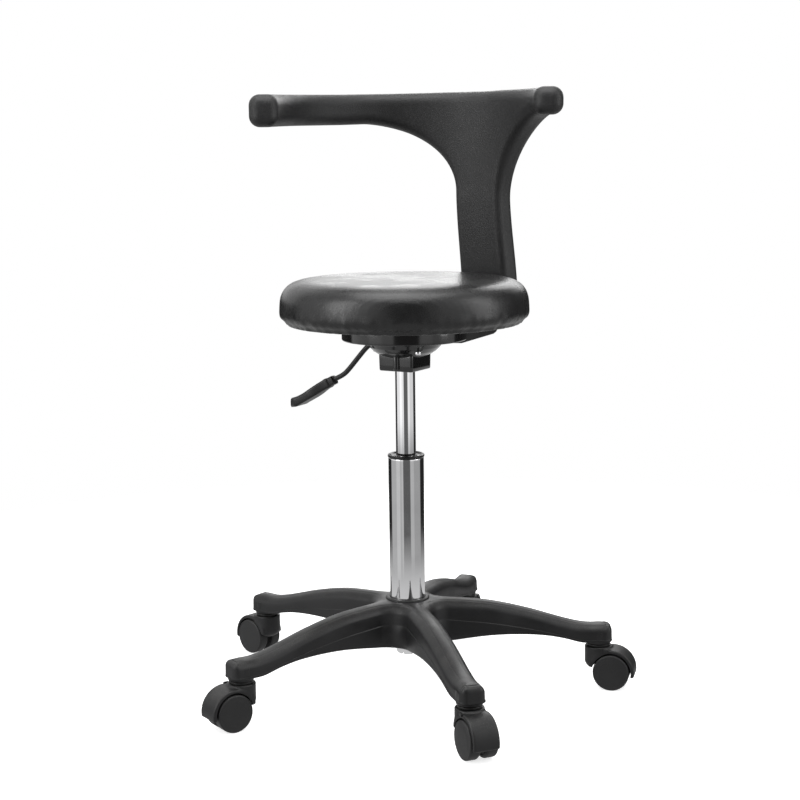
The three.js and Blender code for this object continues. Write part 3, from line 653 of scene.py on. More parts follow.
# %% [markdown]
# ## The star base
# The base is one nylon moulding: five arms with a rounded shoulder, thin flanks and ribs underneath, joined
# by curved webs round the column's sleeve. It could be carved with booleans, but their edges shade badly.
# Instead, half of one arm is a grid. One direction runs along the arm's outline in plan, from the tip, round
# its corner, along the flank and round the web to the line between two arms. The other direction runs
# across: from the spine over the crowned top, round the shoulder, down the flank with its thin parting step,
# and back up the inner wall. The half is mirrored and turned five times, and the seams are merged.

# %% Arm sections
ARM_TIP = 291.5
ARM_HALF = 18.4
WEB_RADIUS = 26.0
STEM_REACH = 273.0
HUB_SPINE = 30.0
SECTOR = math.pi / 5
RIDGE = through([(26, 133), (40, 133.2), (60, 132.4), (85, 131), (111, 128.8), (140, 123.8), (175, 115.5),
                 (200, 108.2), (225, 101), (245, 96.4), (260, 94.6), (275, 94.8), (290, 93.6), (300, 92.6)],
                 160)
KEEL = through([(26, 70), (50, 72), (72, 74.8), (95, 78.2), (122, 81.2), (150, 82.5), (180, 82), (203, 80),
                (225, 76), (241, 71.6), (252, 69.6), (270, 69.4), (300, 69.4)], 160)
TOP_CROWN = 1.5
SHOULDER = 10.5
SHOULDER_POWER = 1.33
TIP_SHOULDER = 7.5
FLANK_DRAFT = 0.9
STEP_OUT = 0.7
STEP_SHARE = [(60, 0.32), (150, 0.54), (230, 0.75)]
WALL = 3.2
ROOF = 4.5


def top_height(reach):
    return np.interp(reach, RIDGE[:, 0], RIDGE[:, 1])


def keel_height(reach):
    return np.interp(reach, KEEL[:, 0], KEEL[:, 1])


def arm_plan():
    """Half of an arm's outline (points, inward directions) and the spine's point that belongs to each. The
    outline is the flat tip, a quarter circle, the flank, and the web's arc about a point on the bisector."""
    corner = 10.5
    tip = np.column_stack([np.full(6, ARM_TIP), np.linspace(0, ARM_HALF - 0.6 - corner, 6)])
    turn_ = np.linspace(0, math.pi / 2, 12)[1:]
    round_ = np.column_stack([ARM_TIP - corner + corner * np.cos(turn_),
                              ARM_HALF - 0.6 - corner + corner * np.sin(turn_)])
    centre = (ARM_HALF + WEB_RADIUS) / math.sin(SECTOR)
    web_middle = centre * np.array([math.cos(SECTOR), math.sin(SECTOR)])
    flank_x = np.linspace(ARM_TIP - corner, web_middle[0], 62)[1:]
    flank = np.column_stack([flank_x, ARM_HALF - 0.6 * smooth(flank_x, 225, 270)])
    bend = np.linspace(-math.pi / 2, -math.pi + SECTOR, 26)[1:]
    web = web_middle + WEB_RADIUS * np.column_stack([np.cos(bend), np.sin(bend)])
    outline = np.concatenate([tip, round_, flank, web])
    into = np.concatenate([
        np.tile([-1.0, 0.0], (6, 1)), -np.column_stack([np.cos(turn_), np.sin(turn_)]),
        np.tile([0.0, -1.0], (len(flank), 1)), np.column_stack([np.cos(bend), np.sin(bend)])])
    last = STEM_REACH + 1.0
    spine_flank = np.interp(flank_x, [web_middle[0], ARM_TIP - corner], [web_middle[0], last])
    run = np.linspace(0, 1, 26)[1:] * (web_middle[0] - HUB_SPINE + HUB_SPINE * SECTOR)
    inward = np.minimum(run, web_middle[0] - HUB_SPINE)
    swing = (run - inward) / HUB_SPINE
    reach = web_middle[0] - inward
    spine = np.concatenate([np.tile([last, 0.0], (len(tip) + len(round_), 1)),
                            np.column_stack([spine_flank, np.zeros(len(flank))]),
                            np.column_stack([reach * np.cos(swing), reach * np.sin(swing)])])
    return outline, into, spine


def half_arm():
    """The grid of half an arm. Across, a point is the outline moved inwards by an inset, at a height taken
    from the ridge, the shoulder's arc, the drafted flank or the roof of the hollow underneath."""
    outline, into, spine = arm_plan()
    along = np.hypot(*outline.T)
    tipness = smooth(outline[:, 0], ARM_TIP - 9, ARM_TIP - 1.5)
    shoulder = SHOULDER + (TIP_SHOULDER - SHOULDER) * tipness
    power = SHOULDER_POWER + (1 - SHOULDER_POWER) * tipness
    crown = TOP_CROWN * (1 - 0.45 * smooth(outline[:, 0], 225, 275))
    ridge_edge = top_height(along) - crown
    keel = keel_height(along)
    rows = []
    inner = outline + into * shoulder[:, None]
    for share in np.linspace(0, 1, 9)[:-1]:
        flat = spine + (inner - spine) * share
        rows.append(np.column_stack([flat, top_height(np.hypot(*flat.T)) - crown * share ** 2]))
    for angle in np.linspace(0, math.pi / 2, 9):
        inset = shoulder * (1 - math.sin(angle) ** power) + FLANK_DRAFT * 0.4
        flat = outline + into * inset[:, None]
        drop = 1 - max(math.cos(angle), 0.0) ** power
        rows.append(np.column_stack([flat, ridge_edge - shoulder * drop]))
    flank_top = ridge_edge - shoulder
    depth = flank_top - keel
    step = STEP_OUT * (1 - tipness)
    split = np.interp(along, *np.transpose(STEP_SHARE))
    below = 1 - split
    sections = [(0.55 * split, 0.25, 0), (split - 0.025, 0.12, 0), (split, 0.10, 0), (split + 0.025, 0.10, 1),
                (split + 0.4 * below, 0.0, 1), (split + 0.75 * below, -0.2, 1)]
    for share, draft, stepped in sections:
        flat = outline + into * (FLANK_DRAFT * draft - step * stepped)[:, None]
        rows.append(np.column_stack([flat, flank_top - depth * share]))
    for angle in np.linspace(0, math.pi, 7):
        inset = -0.3 - step + WALL / 2 * (1 - math.cos(angle))
        flat = outline + into * inset[:, None]
        rows.append(np.column_stack([flat, keel + WALL / 2 * (1 - math.sin(angle))]))
    roof_edge = outline + into * (WALL + 1.2)
    rows.append(np.column_stack([roof_edge, ridge_edge - ROOF - 4.0]))
    roof_start = outline + into * (WALL + 5.0)
    for share in (0.0, 0.5, 1.0):
        flat = roof_start + (spine - roof_start) * share
        rows.append(np.column_stack([flat, top_height(np.hypot(*flat.T)) - ROOF - TOP_CROWN]))
    grid = np.array(rows).transpose(1, 0, 2)
    faces = grid_faces(grid.shape[0], grid.shape[1])
    on_hub = np.flatnonzero(np.hypot(*spine.T) < HUB_SPINE + 0.01)
    first, last = on_hub * grid.shape[1], on_hub * grid.shape[1] + grid.shape[1] - 1
    wall = np.column_stack([first[:-1], first[1:], last[1:], last[:-1]])
    return grid.reshape(-1, 3), np.concatenate([faces, wall])


half_points, half_faces = half_arm()
mirrored = half_points * np.array([1, -1, 1])
ARM_TURN = ARM_ANGLES[0]
base_parts = []
for k in range(5):
    turn_k = ARM_TURN + k * 2 * SECTOR
    base_parts.append(turned((half_points, half_faces), turn_k))
    base_parts.append(turned((mirrored, half_faces[:, ::-1]), turn_k))

# %% Hub, bosses and ribs
SLEEVE = [(25.4, 70, 0), (29.5, 70, 1.5), (31.2, 76, 0), (31.2, 132, 0), (31.2, 134.4, 1.6),
          (29.4, 135.6, 1.2), (25.4, 135.6, 0.6)]
base_parts.append(lathe(rounded_line(SLEEVE, 4, True), 96, True))
BOSS = [(5.8, 66, 0.5), (17.7, 66, 1.4), (18.1, 78, 0), (18.0, 84, 0), (5.8, 84, 0)]
boss = lathe(rounded_line(BOSS, 4, True), 56, True)


def rib_along(across, thickness=2.0):
    """A rib along the arm: its foot is a little above the keel and its top is in the roof."""
    x = np.linspace(28, 258, 40)
    low, high = keel_height(x) + 2.5, top_height(x) - ROOF + 1.0
    y = np.array([-1, 1, 1, -1]) * thickness / 2 + across
    sections = np.stack([np.broadcast_to(x[:, None], (40, 4)), np.broadcast_to(y, (40, 4)),
                         np.stack([low, low, high, high], axis=1)], axis=-1)
    return loft(sections)


def rib_across(reach, thickness=2.0):
    """A rib across the arm, between its flanks."""
    y = np.linspace(-1, 1, 5) * (ARM_HALF - 2.4)
    x = np.array([-1, 1, 1, -1]) * thickness / 2 + reach
    low = np.full(5, keel_height(reach) + 5.0)
    high = top_height(reach) - ROOF - 10.0 * np.abs(y / y[-1]) ** 3
    sections = np.stack([np.broadcast_to(x, (5, 4)), np.broadcast_to(y[:, None], (5, 4)),
                         np.stack([low, low, high, high], axis=1)], axis=-1)
    return loft(sections)


ribs = [rib_along(-5.4), rib_along(5.4)] + [rib_across(reach) for reach in (66, 104, 142, 180, 216, 246)]
for k in range(5):
    turn_k = ARM_TURN + k * 2 * SECTOR
    base_parts.append(turned(boss, turn_k, (STEM_REACH * math.cos(turn_k), STEM_REACH * math.sin(turn_k), 0)))
    base_parts.extend(turned(rib, turn_k) for rib in ribs)
base_piece = new_piece("star_base_moulding", base_parts, math.radians(30))
settle(base_piece, "base", ["star_base"], base_nylon)

# %% [markdown]
# ## The gas lift
# The lift is turned metal, so every piece of it is a lathe profile: the chrome column tube, the black guide
# bush inside it with its flange over the rim, the chrome cylinder that slides in the bush, and the piston
# rod that stands on a bearing at the foot. The tube's foot shows below the hub as a bright cap with pressed
# slots.

# %% Column and cylinder
column = [(6, 66, 0), (23.4, 66, 1.5), (25, 71, 1.2), (25, 73, 0), (25, 335.6, 0), (25, 337.4, 0.6),
          (23, 337.4, 0.4), (23, 335.6, 0), (23, 70, 0.5), (6, 70, 0.3)]
column_piece = new_piece("column_tube_chrome", [lathe(rounded_line(column, 4, True), 128, True)])
settle(column_piece, "base", ["column_tube"], chrome)

bush = [(14.3, 250, 0.5), (22.7, 250, 0.5), (22.7, 337.7, 0.2), (25.3, 337.7, 0.4), (25.9, 339.0, 0.6),
        (25.9, 341.0, 0.8), (24.4, 342, 0.6), (22.6, 341.2, 0.5), (20.5, 339.6, 0.5), (16.2, 339.4, 0.6),
        (14.3, 337.6, 0.4)]
bush_piece = new_piece("guide_bush_sleeve", [lathe(rounded_line(bush, 3, True), 96, True)])
settle(bush_piece, "base", ["guide_bush"], guide_acetal)

cylinder = [(5.3, 203, 0.3), (13, 203, 0.6), (14, 204.4, 0.6), (14, 206, 0), (14, 457, 0), (14, 460, 2),
            (13.4, 484, 0.6), (3.4, 484, 0.3), (3.4, 474, 0.3), (12, 474, 0.5), (12, 211, 0.5),
            (5.3, 211, 0.3)]
cylinder_piece = new_piece("gas_cylinder_chrome", [lathe(rounded_line(cylinder, 3, True), 96, True)])
settle(cylinder_piece, "seat", ["gas_cylinder"], chrome)

# %% Foot of the lift
foot = np.array(rounded_line([(6, 57, 0.4), (11, 57, 0.4), (11.6, 53.2, 0.6), (12.6, 52.4, 0.6),
                              (15.4, 52.6, 1.2), (17, 55.5, 1.2), (17, 65.7, 0.3), (6, 65.7, 0.3)], 4, True))
foot_points, foot_faces = lathe(foot, 144, True)
spoke = np.cos(6 * np.arctan2(foot_points[:, 1], foot_points[:, 0]))
foot_reach = np.hypot(foot_points[:, 0], foot_points[:, 1])
foot_points[:, 2] += 3.2 * smooth(spoke, 0.76, 0.9) * (foot_reach > 11.3) * (foot_points[:, 2] < 58)
foot_piece = new_piece("column_foot_cap", [(foot_points, foot_faces)])
settle(foot_piece, "base", ["column_end_cap"], bright_plate)

small_rings = [
    ("thrust_bearing_race", "thrust_bearing", "base", "zinc_steel", zinc_plate, (6, 14, 70.3, 77)),
    ("retaining_clip_ring", "retaining_clip", "rod", "zinc_steel", zinc_plate, (5.3, 10, 53.5, 56.4)),
    ("bump_rubber_ring", "bump_rubber", "rod", "black_rubber", bump_black, (5.3, 13, 81.3, 99)),
    ("piston_ring", "piston", "rod", "white_plastic", white_acetal, (5.3, 11.6, 288, 302)),
    ("lower_glide_washer", "lower_glide_ring", "seat", "white_plastic", white_acetal,
     (24.6, 44, 507.3, 508.9)),
    ("upper_glide_washer", "upper_glide_ring", "seat", "white_plastic", white_acetal,
     (22.6, 60, 524.3, 525.7)),
]
for name, node, body, slot, finish, (inner, outer, bottom, top) in small_rings:
    piece = new_piece(name, [ring(inner, outer, bottom, top, min(0.6, (top - bottom) / 4))])
    settle(piece, body, [node], finish)

rod_line = [(0, 52, 0), (4.2, 52, 0.3), (5, 53, 0.3), (5, 77.3, 0.2), (9, 77.3, 0.4), (9, 81, 0.4),
            (5, 81, 0.2), (5, 307, 0.3), (4.2, 308, 0.3), (0, 308, 0)]
rod_piece = new_piece("piston_rod_shaft", [lathe(rounded_line(rod_line, 3), 48)])
settle(rod_piece, "rod", ["piston_rod"], zinc_plate)

# %% [markdown]
# ## The seat mechanism
# The casting under the seat has a square socket that grips the cylinder's taper, an open bowl with a rim,
# and a slot for the lever. The socket is a loft of rounded squares, because its sides lean in slightly
# towards the foot, as a casting's do to leave the mould. The bowl is a lathe, and its wall is cut down where
# the lever goes through: points in the slot are simply held below the slot's floor.

# %% Socket and bowl
SOCKET_TURN = math.radians(-30.5)
LEVER_TURN = math.radians(153)
SOCKET_ROWS = [(462.0, 25.4, 2.4), (462.6, 26.3, 2.9), (463.8, 26.8, 3.3), (470, 26.95, 3.4),
               (478, 27.1, 3.4), (484.0, 27.2, 3.4), (486.2, 26.8, 3.0), (487.0, 25.8, 2.5)]


def rounded_square(half, corner, steps=7):
    line = [(half, half, corner), (-half, half, corner), (-half, -half, corner), (half, -half, corner)]
    return rounded_line(line, steps, True)


outer = np.array([np.column_stack([rounded_square(half, corner), np.full(32, z)])
                  for z, half, corner in SOCKET_ROWS])
around = np.arctan2(outer[0, :, 1], outer[0, :, 0])
bore_ring = np.column_stack([np.cos(around), np.sin(around)])
inner = np.array([np.column_stack([bore_ring * 14.3, np.full(32, z)]) for z in (487.0, 464.0, 462.0)])
socket_grid = np.concatenate([outer, inner])
socket = (socket_grid.reshape(-1, 3), grid_faces(len(socket_grid), 32, True, True))
boss_line = [(0, 464, 0), (3.6, 464, 0.8), (4.6, 466, 0.8), (4.6, 484, 0.6), (0, 485, 0)]
boss_points, boss_faces = lathe(rounded_line(boss_line, 3), 32)
side_boss = (boss_points + np.array([2.0, -27.2, 0]), boss_faces)

BOWL = [(14.4, 479.5, 0.3), (24, 479.8, 2), (36.4, 484.4, 4), (43.6, 489, 4), (49.8, 495, 4),
        (53.2, 500.6, 1.2), (56, 501.3, 0.8), (56, 504, 0.8), (50.6, 504, 0.6), (49.4, 500.8, 1),
        (46.0, 496.8, 3), (39.4, 491.6, 3), (17.2, 487.5, 1), (14.4, 487.2, 0.3)]
SLOT_HALF = 6.2
SLOT_FLOOR = 488.8
bowl_points, bowl_faces = lathe(rounded_line(BOWL, 4, True), 288, True)
toward = np.array([math.cos(LEVER_TURN), math.sin(LEVER_TURN)])
across_slot = bowl_points[:, 0] * toward[1] - bowl_points[:, 1] * toward[0]
in_slot = (np.abs(across_slot) < SLOT_HALF) & (bowl_points[:, :2] @ toward > 25)
held_back = in_slot & (bowl_points[:, 2] > SLOT_FLOOR)
bowl_reach = np.hypot(bowl_points[:, 0], bowl_points[:, 1])
bowl_points[held_back, :2] *= np.minimum(1, 43.2 / bowl_reach[held_back])[:, None]
bowl_points[held_back, 2] = SLOT_FLOOR
ears = [turned(rounded_box((36, y - 1.5, 486), (45, y + 1.5, 500.5), 0.8), LEVER_TURN) for y in (-7.7, 7.7)]
lug_points, lug_faces = lathe(rounded_line([(0, 491.8, 0), (5.4, 491.8, 0.5), (6.5, 493, 0.8),
                                            (6.5, 501, 0.5), (0, 502, 0)], 3), 40)
SCREW = np.array([18.0, -42.0, 0])
housing_piece = new_piece("mechanism_casting", [
    turned(socket, SOCKET_TURN), turned(side_boss, SOCKET_TURN), (bowl_points, bowl_faces), *ears,
    (lug_points + SCREW, lug_faces)], math.radians(32))
settle(housing_piece, "seat", ["mechanism_housing"], gloss_enamel)

# %% Screw, spindle and pins
head = rounded_line([(0, 488.6, 0), (2.0, 488.6, 0.1), (2.0, 487.3, 0.2), (3.6, 487.5, 0.5),
                     (4.6, 489.2, 0.6), (4.6, 491.6, 0.3), (2.5, 491.6, 0.2), (2.5, 503.8, 0.2),
                     (0, 503.8, 0)], 3)
screw_points, screw_faces = lathe(head, 36)
screw_piece = new_piece("housing_screw_head", [(screw_points + SCREW, screw_faces)])
settle(screw_piece, "seat", ["housing_screw"], bright_plate)

pin_points, pin_faces = lathe(rounded_line([(0, -9.6, 0), (2, -9.6, 0.5), (2, 9.6, 0.5), (0, 9.6, 0)], 3), 24)
lying_pin = pin_points[:, [0, 2, 1]] + np.array([41.0, 0, 496.5])
lever_pin_piece = new_piece("lever_pivot_pin", [turned((lying_pin, pin_faces), LEVER_TURN)])
settle(lever_pin_piece, "seat", ["lever_pin"], zinc_plate)

valve = rounded_line([(0, 468, 0), (3, 468, 0.4), (3, 491, 0.5), (1.8, 492.4, 0.4), (0, 492.4, 0)], 3)
valve_piece = new_piece("release_pin_button", [lathe(valve, 32)])
settle(valve_piece, "release_pin", ["release_pin"], zinc_plate)

spindle = [(15, 504.3, 0.3), (54, 504.3, 0.6), (54, 507, 0.6), (22, 507, 0.4), (22, 525.7, 0.5),
           (15, 525.7, 0.5)]
spindle_piece = new_piece("swivel_spindle_flange", [lathe(rounded_line(spindle, 3, True), 96, True)])
settle(spindle_piece, "seat", ["swivel_spindle"], zinc_plate)

# %% [markdown]
# ## The turning pan
# The torso support hangs on a dished steel pan that turns under the seat between two glide washers. It is a
# lathe profile with a rolled lower edge and a notch for the strap. The strap is pressed steel: level where
# it is bolted to the pan, deeper outside the pan's edge, and bent up inside the post. Its lower and upper
# side are two lines with rounded corners, and a rounded rectangle is stretched between them.

# %% Pan, strap and bolts
POST_TURN = math.radians(53.5)
PAN = [(24.4, 509.2, 0.4), (34, 509.2, 1.2), (34, 520.8, 1.5), (85.2, 521, 2.5), (85.2, 505.8, 0.6),
       (86.4, 504.4, 0.8), (88, 506.2, 1.0), (88, 521.2, 2.6), (84.5, 524, 1.2), (24.4, 524, 0.5)]
pan_points, pan_faces = lathe(rounded_line(PAN, 5, True), 288, True)
toward = np.array([math.cos(POST_TURN), math.sin(POST_TURN)])
across_notch = pan_points[:, 0] * toward[1] - pan_points[:, 1] * toward[0]
in_notch = (np.abs(across_notch) < 21) & (pan_points[:, :2] @ toward > 60) & (pan_points[:, 2] < 520.7)
pan_points[in_notch, 2] = 520.7
pan_piece = new_piece("turning_pan", [(pan_points, pan_faces)], math.radians(32))
settle(pan_piece, "arm", ["arm_turntable"], gloss_enamel)

SUPPORT_MIDDLE = np.array([5.0, -2.0])
SUPPORT_RADIUS = 194.0
POST_LEAN = 12.0
strap_foot = SUPPORT_RADIUS + POST_LEAN + 1.6
STRAP_LOW = [(38, 511.5, 0), (74, 511.5, 3), (88, 491, 4), (112, 488.5, 4), (strap_foot - 12, 494, 4),
             (strap_foot - 3, 497, 6), (strap_foot + 4, 506, 6), (strap_foot + 4, 540, 30),
             (SUPPORT_RADIUS + 7, 730, 0)]
STRAP_HIGH = [(38, 519.5, 0), (88, 519.5, 2), (strap_foot - 14, 512.5, 4), (strap_foot - 7, 516, 4),
              (strap_foot - 4, 524, 4), (strap_foot - 4, 540, 30), (SUPPORT_RADIUS - 1, 730, 0)]


def evenly(line, count):
    """`count` points evenly spaced along a line."""
    line = np.array(line)
    run = np.append(0, np.cumsum(np.linalg.norm(np.diff(line, axis=0), axis=1)))
    even = np.linspace(0, run[-1], count)
    return np.column_stack([np.interp(even, run, line[:, 0]), np.interp(even, run, line[:, 1])])


strap_low = evenly(rounded_line(STRAP_LOW, 6), 60)
strap_high = evenly(rounded_line(STRAP_HIGH, 6), 60)
strap_section = np.array(rounded_line([(20, 1, 0.2), (-20, 1, 0.2), (-20, -1, 0.2), (20, -1, 0.2)], 3, True))
share = (strap_section[None, :, 1:] + 1) / 2
strap_flat = strap_low[:, None] * (1 - share) + strap_high[:, None] * share
strap = loft(np.insert(strap_flat, 1, strap_section[:, 0], axis=2))
strap_piece = new_piece("support_strap", [turned(strap, POST_TURN)])
settle(strap_piece, "arm", ["arm_strap"], powder_coat)


def hexagon_bolt(bottom, top, half, shank, end):
    """A bolt standing head down: a six-sided lathe for the head and a round one for the shank."""
    head_line = rounded_line([(0, bottom, 0), (half - 0.7, bottom, 0.2), (half, bottom + 0.7, 0.2),
                              (half, top, 0), (0, top, 0)], 2)
    shank_line = rounded_line([(0, top - 1, 0), (shank, top - 1, 0), (shank, end, 0.3), (0, end, 0)], 2)
    return [lathe(head_line, 6), lathe(shank_line, 24)]


def bolt_at(name, node, body, reach, angle, sizes):
    place = (reach * math.cos(angle), reach * math.sin(angle), 0)
    parts = [turned(part, angle, place) for part in hexagon_bolt(*sizes)]
    settle(new_piece(name, parts, math.radians(25)), body, [node], zinc_plate)


for number, reach in ((1, 52), (2, 66.6)):
    bolt_at(f"strap_bolt_{number}", f"arm_bolt_{number}", "arm", reach, POST_TURN,
            (507.2, 511.2, 7, 4, 520.7))

# %% [markdown]
# ## Seat plate, board and bolts
# Above the pan come the steel seat plate, a round plywood board that carries the upholstery, and four bolts.

# %% Plate, board and bolts
plate_piece = new_piece("seat_plate_sheet", [rounded_box((-83, -83, 526), (83, 83, 529), 0.7)])
corners = np.zeros(len(plate_piece.data.vertices) * 3, np.float32)
plate_piece.data.vertices.foreach_get("co", corners)
plate_points = (corners.reshape(-1, 3) - AXIS) / MM
square = np.abs(plate_points[:, :2]) - 67
outside = (square > 0).all(axis=1)
pull = np.hypot(*np.maximum(square, 1e-9).T)
keep = np.where(outside & (pull > 16), 16 / pull, 1.0)
plate_points[:, :2] = np.sign(plate_points[:, :2]) * np.where(outside[:, None], 67 + square * keep[:, None],
                                                             np.abs(plate_points[:, :2]))
plate_piece.data.vertices.foreach_set("co", (plate_points * MM + AXIS).astype(np.float32).ravel())
settle(plate_piece, "seat", ["seat_plate"], powder_coat)

board_line = rounded_line([(0, 529.3, 0), (158, 529.3, 1.5), (158, 541.3, 1.5), (0, 541.3, 0)], 4)
board_piece = new_piece("seat_board_ply", [lathe(board_line, 128)])
settle(board_piece, "seat", ["seat_board"], plywood)

for number in range(4):
    angle = math.radians(45 + 90 * number)
    bolt_at(f"seat_bolt_hex_{number + 1}", f"seat_bolt_{number + 1}", "seat", 98, angle,
            (521.6, 525.7, 6.5, 3, 530.5))

# %% [markdown]
# ## The height lever
# Pulling the paddle up tips the rod down on to the gas valve's pin. The rod is a round section carried along
# a smooth line. The paddle is a loft: its width, thickness and bow change along its length, it starts in a
# narrow collar round the rod, and it ends in a blunt tip with a small finger bump underneath.

# %% Rod and paddle
LEVER_PATH = [(-4, 496.5), (20, 496.5), (46, 496.5), (56, 493.5), (66, 484.5), (89, 458.5), (99, 449.5),
              (112, 442.5), (126, 435)]
lever_line = through(LEVER_PATH, 70)
lever_path = np.column_stack([lever_line[:, 0], np.zeros(70), lever_line[:, 1]])
circle = np.linspace(0, 2 * math.pi, 24, endpoint=False)
round_section = 3.6 * np.column_stack([np.cos(circle), np.sin(circle)])
end_scale = np.ones(70)
end_scale[[0, -1]] = 0.82
rod_part = loft(carried(lever_path, round_section, np.array([0, 1.0, 0]), end_scale))
eye_points, eye_faces = lathe(rounded_line([(2.1, -5.4, 0.4), (5.2, -5.4, 0.6), (5.2, 5.4, 0.6),
                                            (2.1, 5.4, 0.4)], 3,
                                           True), 40, True)
eye = (eye_points[:, [0, 2, 1]] + np.array([41.0, 0, 496.5]), eye_faces)
lever_piece = new_piece("lever_rod_bent", [turned(rod_part, LEVER_TURN), turned(eye, LEVER_TURN)])
settle(lever_piece, "lever", ["lever_rod"], lever_paint)

PADDLE_START = np.array([113.0, 441.6])
PADDLE_SLOPE = math.radians(-28)
PADDLE_LENGTH = 79.0
TIP_SHEAR = 0.53


def paddle():
    """The grip's sections. At each station along it, the section is a rounded rectangle whose half width and
    half thickness are soft steps of the station, set off by the bow and, below, by the finger bump."""
    share = np.concatenate([[0.0, 0.004], np.linspace(0.012, 0.10, 6), np.linspace(0.115, 0.97, 44),
                            [0.982, 0.991, 0.997, 1.0]])
    collar = 1 - smooth(share, 0.10, 0.125)
    half_wide = 8.6 + 8.4 * smooth(share, 0.10, 0.55) - 5.5 * smooth(share, 0.86, 1.0) - 1.4 * collar
    half_thick = 6.9 - 0.5 * smooth(share, 0.1, 0.95) - 0.5 * smooth(share, 0.9, 1.0) - 0.4 * collar
    half_thick += 0.5 * np.exp(-((share - 0.16) / 0.03) ** 2)
    closing = np.sqrt(np.clip(1 - (smooth(share, 0.965, 1.0) * 0.8) ** 2, 0, 1))
    closing *= 1 - 0.18 * (1 - smooth(share, 0.0, 0.008))
    bow = -2.5 * np.sin(math.pi * share) + 1.4 * np.sin(2 * math.pi * share)
    sections = []
    for s, wide, thick, end, rise in zip(share, half_wide, half_thick, closing, bow):
        wide, thick = wide * end, thick * end
        corner = min(3.4, thick * 0.75)
        line = rounded_line([(wide, thick, corner), (-wide, thick, corner), (-wide, -thick, corner),
                             (wide, -thick, corner)], 6, True)
        up = line[:, 1] + rise
        bump = 1.6 * math.exp(-((s - 0.86) / 0.05) ** 2) - 1.0 * math.exp(-((s - 0.62) / 0.14) ** 2)
        up = np.where(line[:, 1] < 0, up - bump * (1 - (line[:, 0] / max(wide, 1)) ** 2 * 0.5), up)
        along = s * PADDLE_LENGTH - TIP_SHEAR * (up - rise) * smooth(s, 0.8, 0.99)
        sections.append(np.column_stack([
            PADDLE_START[0] + along * math.cos(PADDLE_SLOPE) - up * math.sin(PADDLE_SLOPE), line[:, 0],
            PADDLE_START[1] + along * math.sin(PADDLE_SLOPE) + up * math.cos(PADDLE_SLOPE)]))
    return loft(np.array(sections))


paddle_piece = new_piece("lever_paddle_grip", [turned(paddle(), LEVER_TURN)])
settle(paddle_piece, "lever", ["lever_paddle"], grip_nylon)

# %% [markdown]
# ## Shapes from a distance field
# The castor's hood and the torso support flow into each other without edges, which a grid on a profile can't
# follow. They are made from a distance field: a function that says, for any point, how far it is from the
# surface. Simple shapes blend there with a smooth minimum. The surface is found in three steps: cells of a
# regular lattice that the surface crosses get a point each, neighbouring points become faces, and each point
# then slides down the field's slope to where the field is zero.

# %% Skin of a field
def melt(first, second, blend):
    """The smaller of two distances, with their meeting rounded over `blend` millimetres."""
    part = np.clip(0.5 + 0.5 * (second - first) / blend, 0, 1)
    return second + (first - second) * part - blend * part * (1 - part)


def slope_of(field, points, reach=0.02):
    """The field's slope at each point, from differences along the three axes."""
    steps = np.eye(3) * reach
    return np.stack([field(points + step) - field(points - step) for step in steps], axis=1) / (2 * reach)


def skin_of(field, low, high, cell, rounds=6):
    """Points and four-cornered faces of the surface where field = 0, inside the box from low to high."""
    axes = [np.arange(start, stop + cell, cell) for start, stop in zip(low, high)]
    lattice = np.stack(np.meshgrid(*axes, indexing="ij"), axis=-1)
    inside = field(lattice.reshape(-1, 3)).reshape(lattice.shape[:3]) < 0
    nx, ny, nz = np.array(inside.shape) - 1
    count = sum(inside[a:a + nx, b:b + ny, c:c + nz].astype(np.int8)
                for a in (0, 1) for b in (0, 1) for c in (0, 1))
    crossed = (count > 0) & (count < 8)
    number = np.full(crossed.shape, -1)
    number[crossed] = np.arange(crossed.sum())
    points = lattice[:-1, :-1, :-1][crossed] + cell / 2
    faces = []
    for axis in range(3):
        spots = np.argwhere(np.diff(inside.astype(np.int8), axis=axis))
        first, second = [k for k in range(3) if k != axis]
        corners = []
        for back_first, back_second in ((0, 0), (1, 0), (1, 1), (0, 1)):
            spot = spots.copy()
            spot[:, first] -= back_first
            spot[:, second] -= back_second
            corners.append(number[tuple(spot.T)])
        faces.append(np.stack(corners, axis=1))
    faces = np.concatenate(faces)
    for turn_ in range(rounds):
        if 0 < turn_ < rounds - 2:
            total = np.zeros_like(points)
            shares = np.zeros(len(points))
            middle = points[faces].mean(axis=1)
            for corner in range(4):
                np.add.at(total, faces[:, corner], middle)
                np.add.at(shares, faces[:, corner], 1)
            points = points + 0.6 * (total / shares[:, None] - points)
        slope = slope_of(field, points)
        move = field(points)[:, None] * slope / np.maximum((slope ** 2).sum(axis=1, keepdims=True), 0.2)
        length_ = np.linalg.norm(move, axis=1, keepdims=True)
        points = points - move * np.minimum(1, cell / np.maximum(length_, 1e-9))
    return points, faces


def slab(value, low, high):
    """Distance to a flat slab between two values: negative between them."""
    return np.abs(value - (low + high) / 2) - (high - low) / 2


def meet(first, second, edge):
    """Where two shapes overlap, with the edge between them rounded to the radius `edge`."""
    a, b = first + edge, second + edge
    return np.minimum(np.maximum(a, b), 0) + np.hypot(np.maximum(a, 0), np.maximum(b, 0)) - edge


# %% [markdown]
# ## Castors
# Each castor has a fork body with a hood over two wheels, a stem with a black collar, and an axle. The
# body's field is a round hood and an upright housing melted together, less the two wheel wells, so a web
# stays between them. The wheels are lathe profiles with a domed outer face.

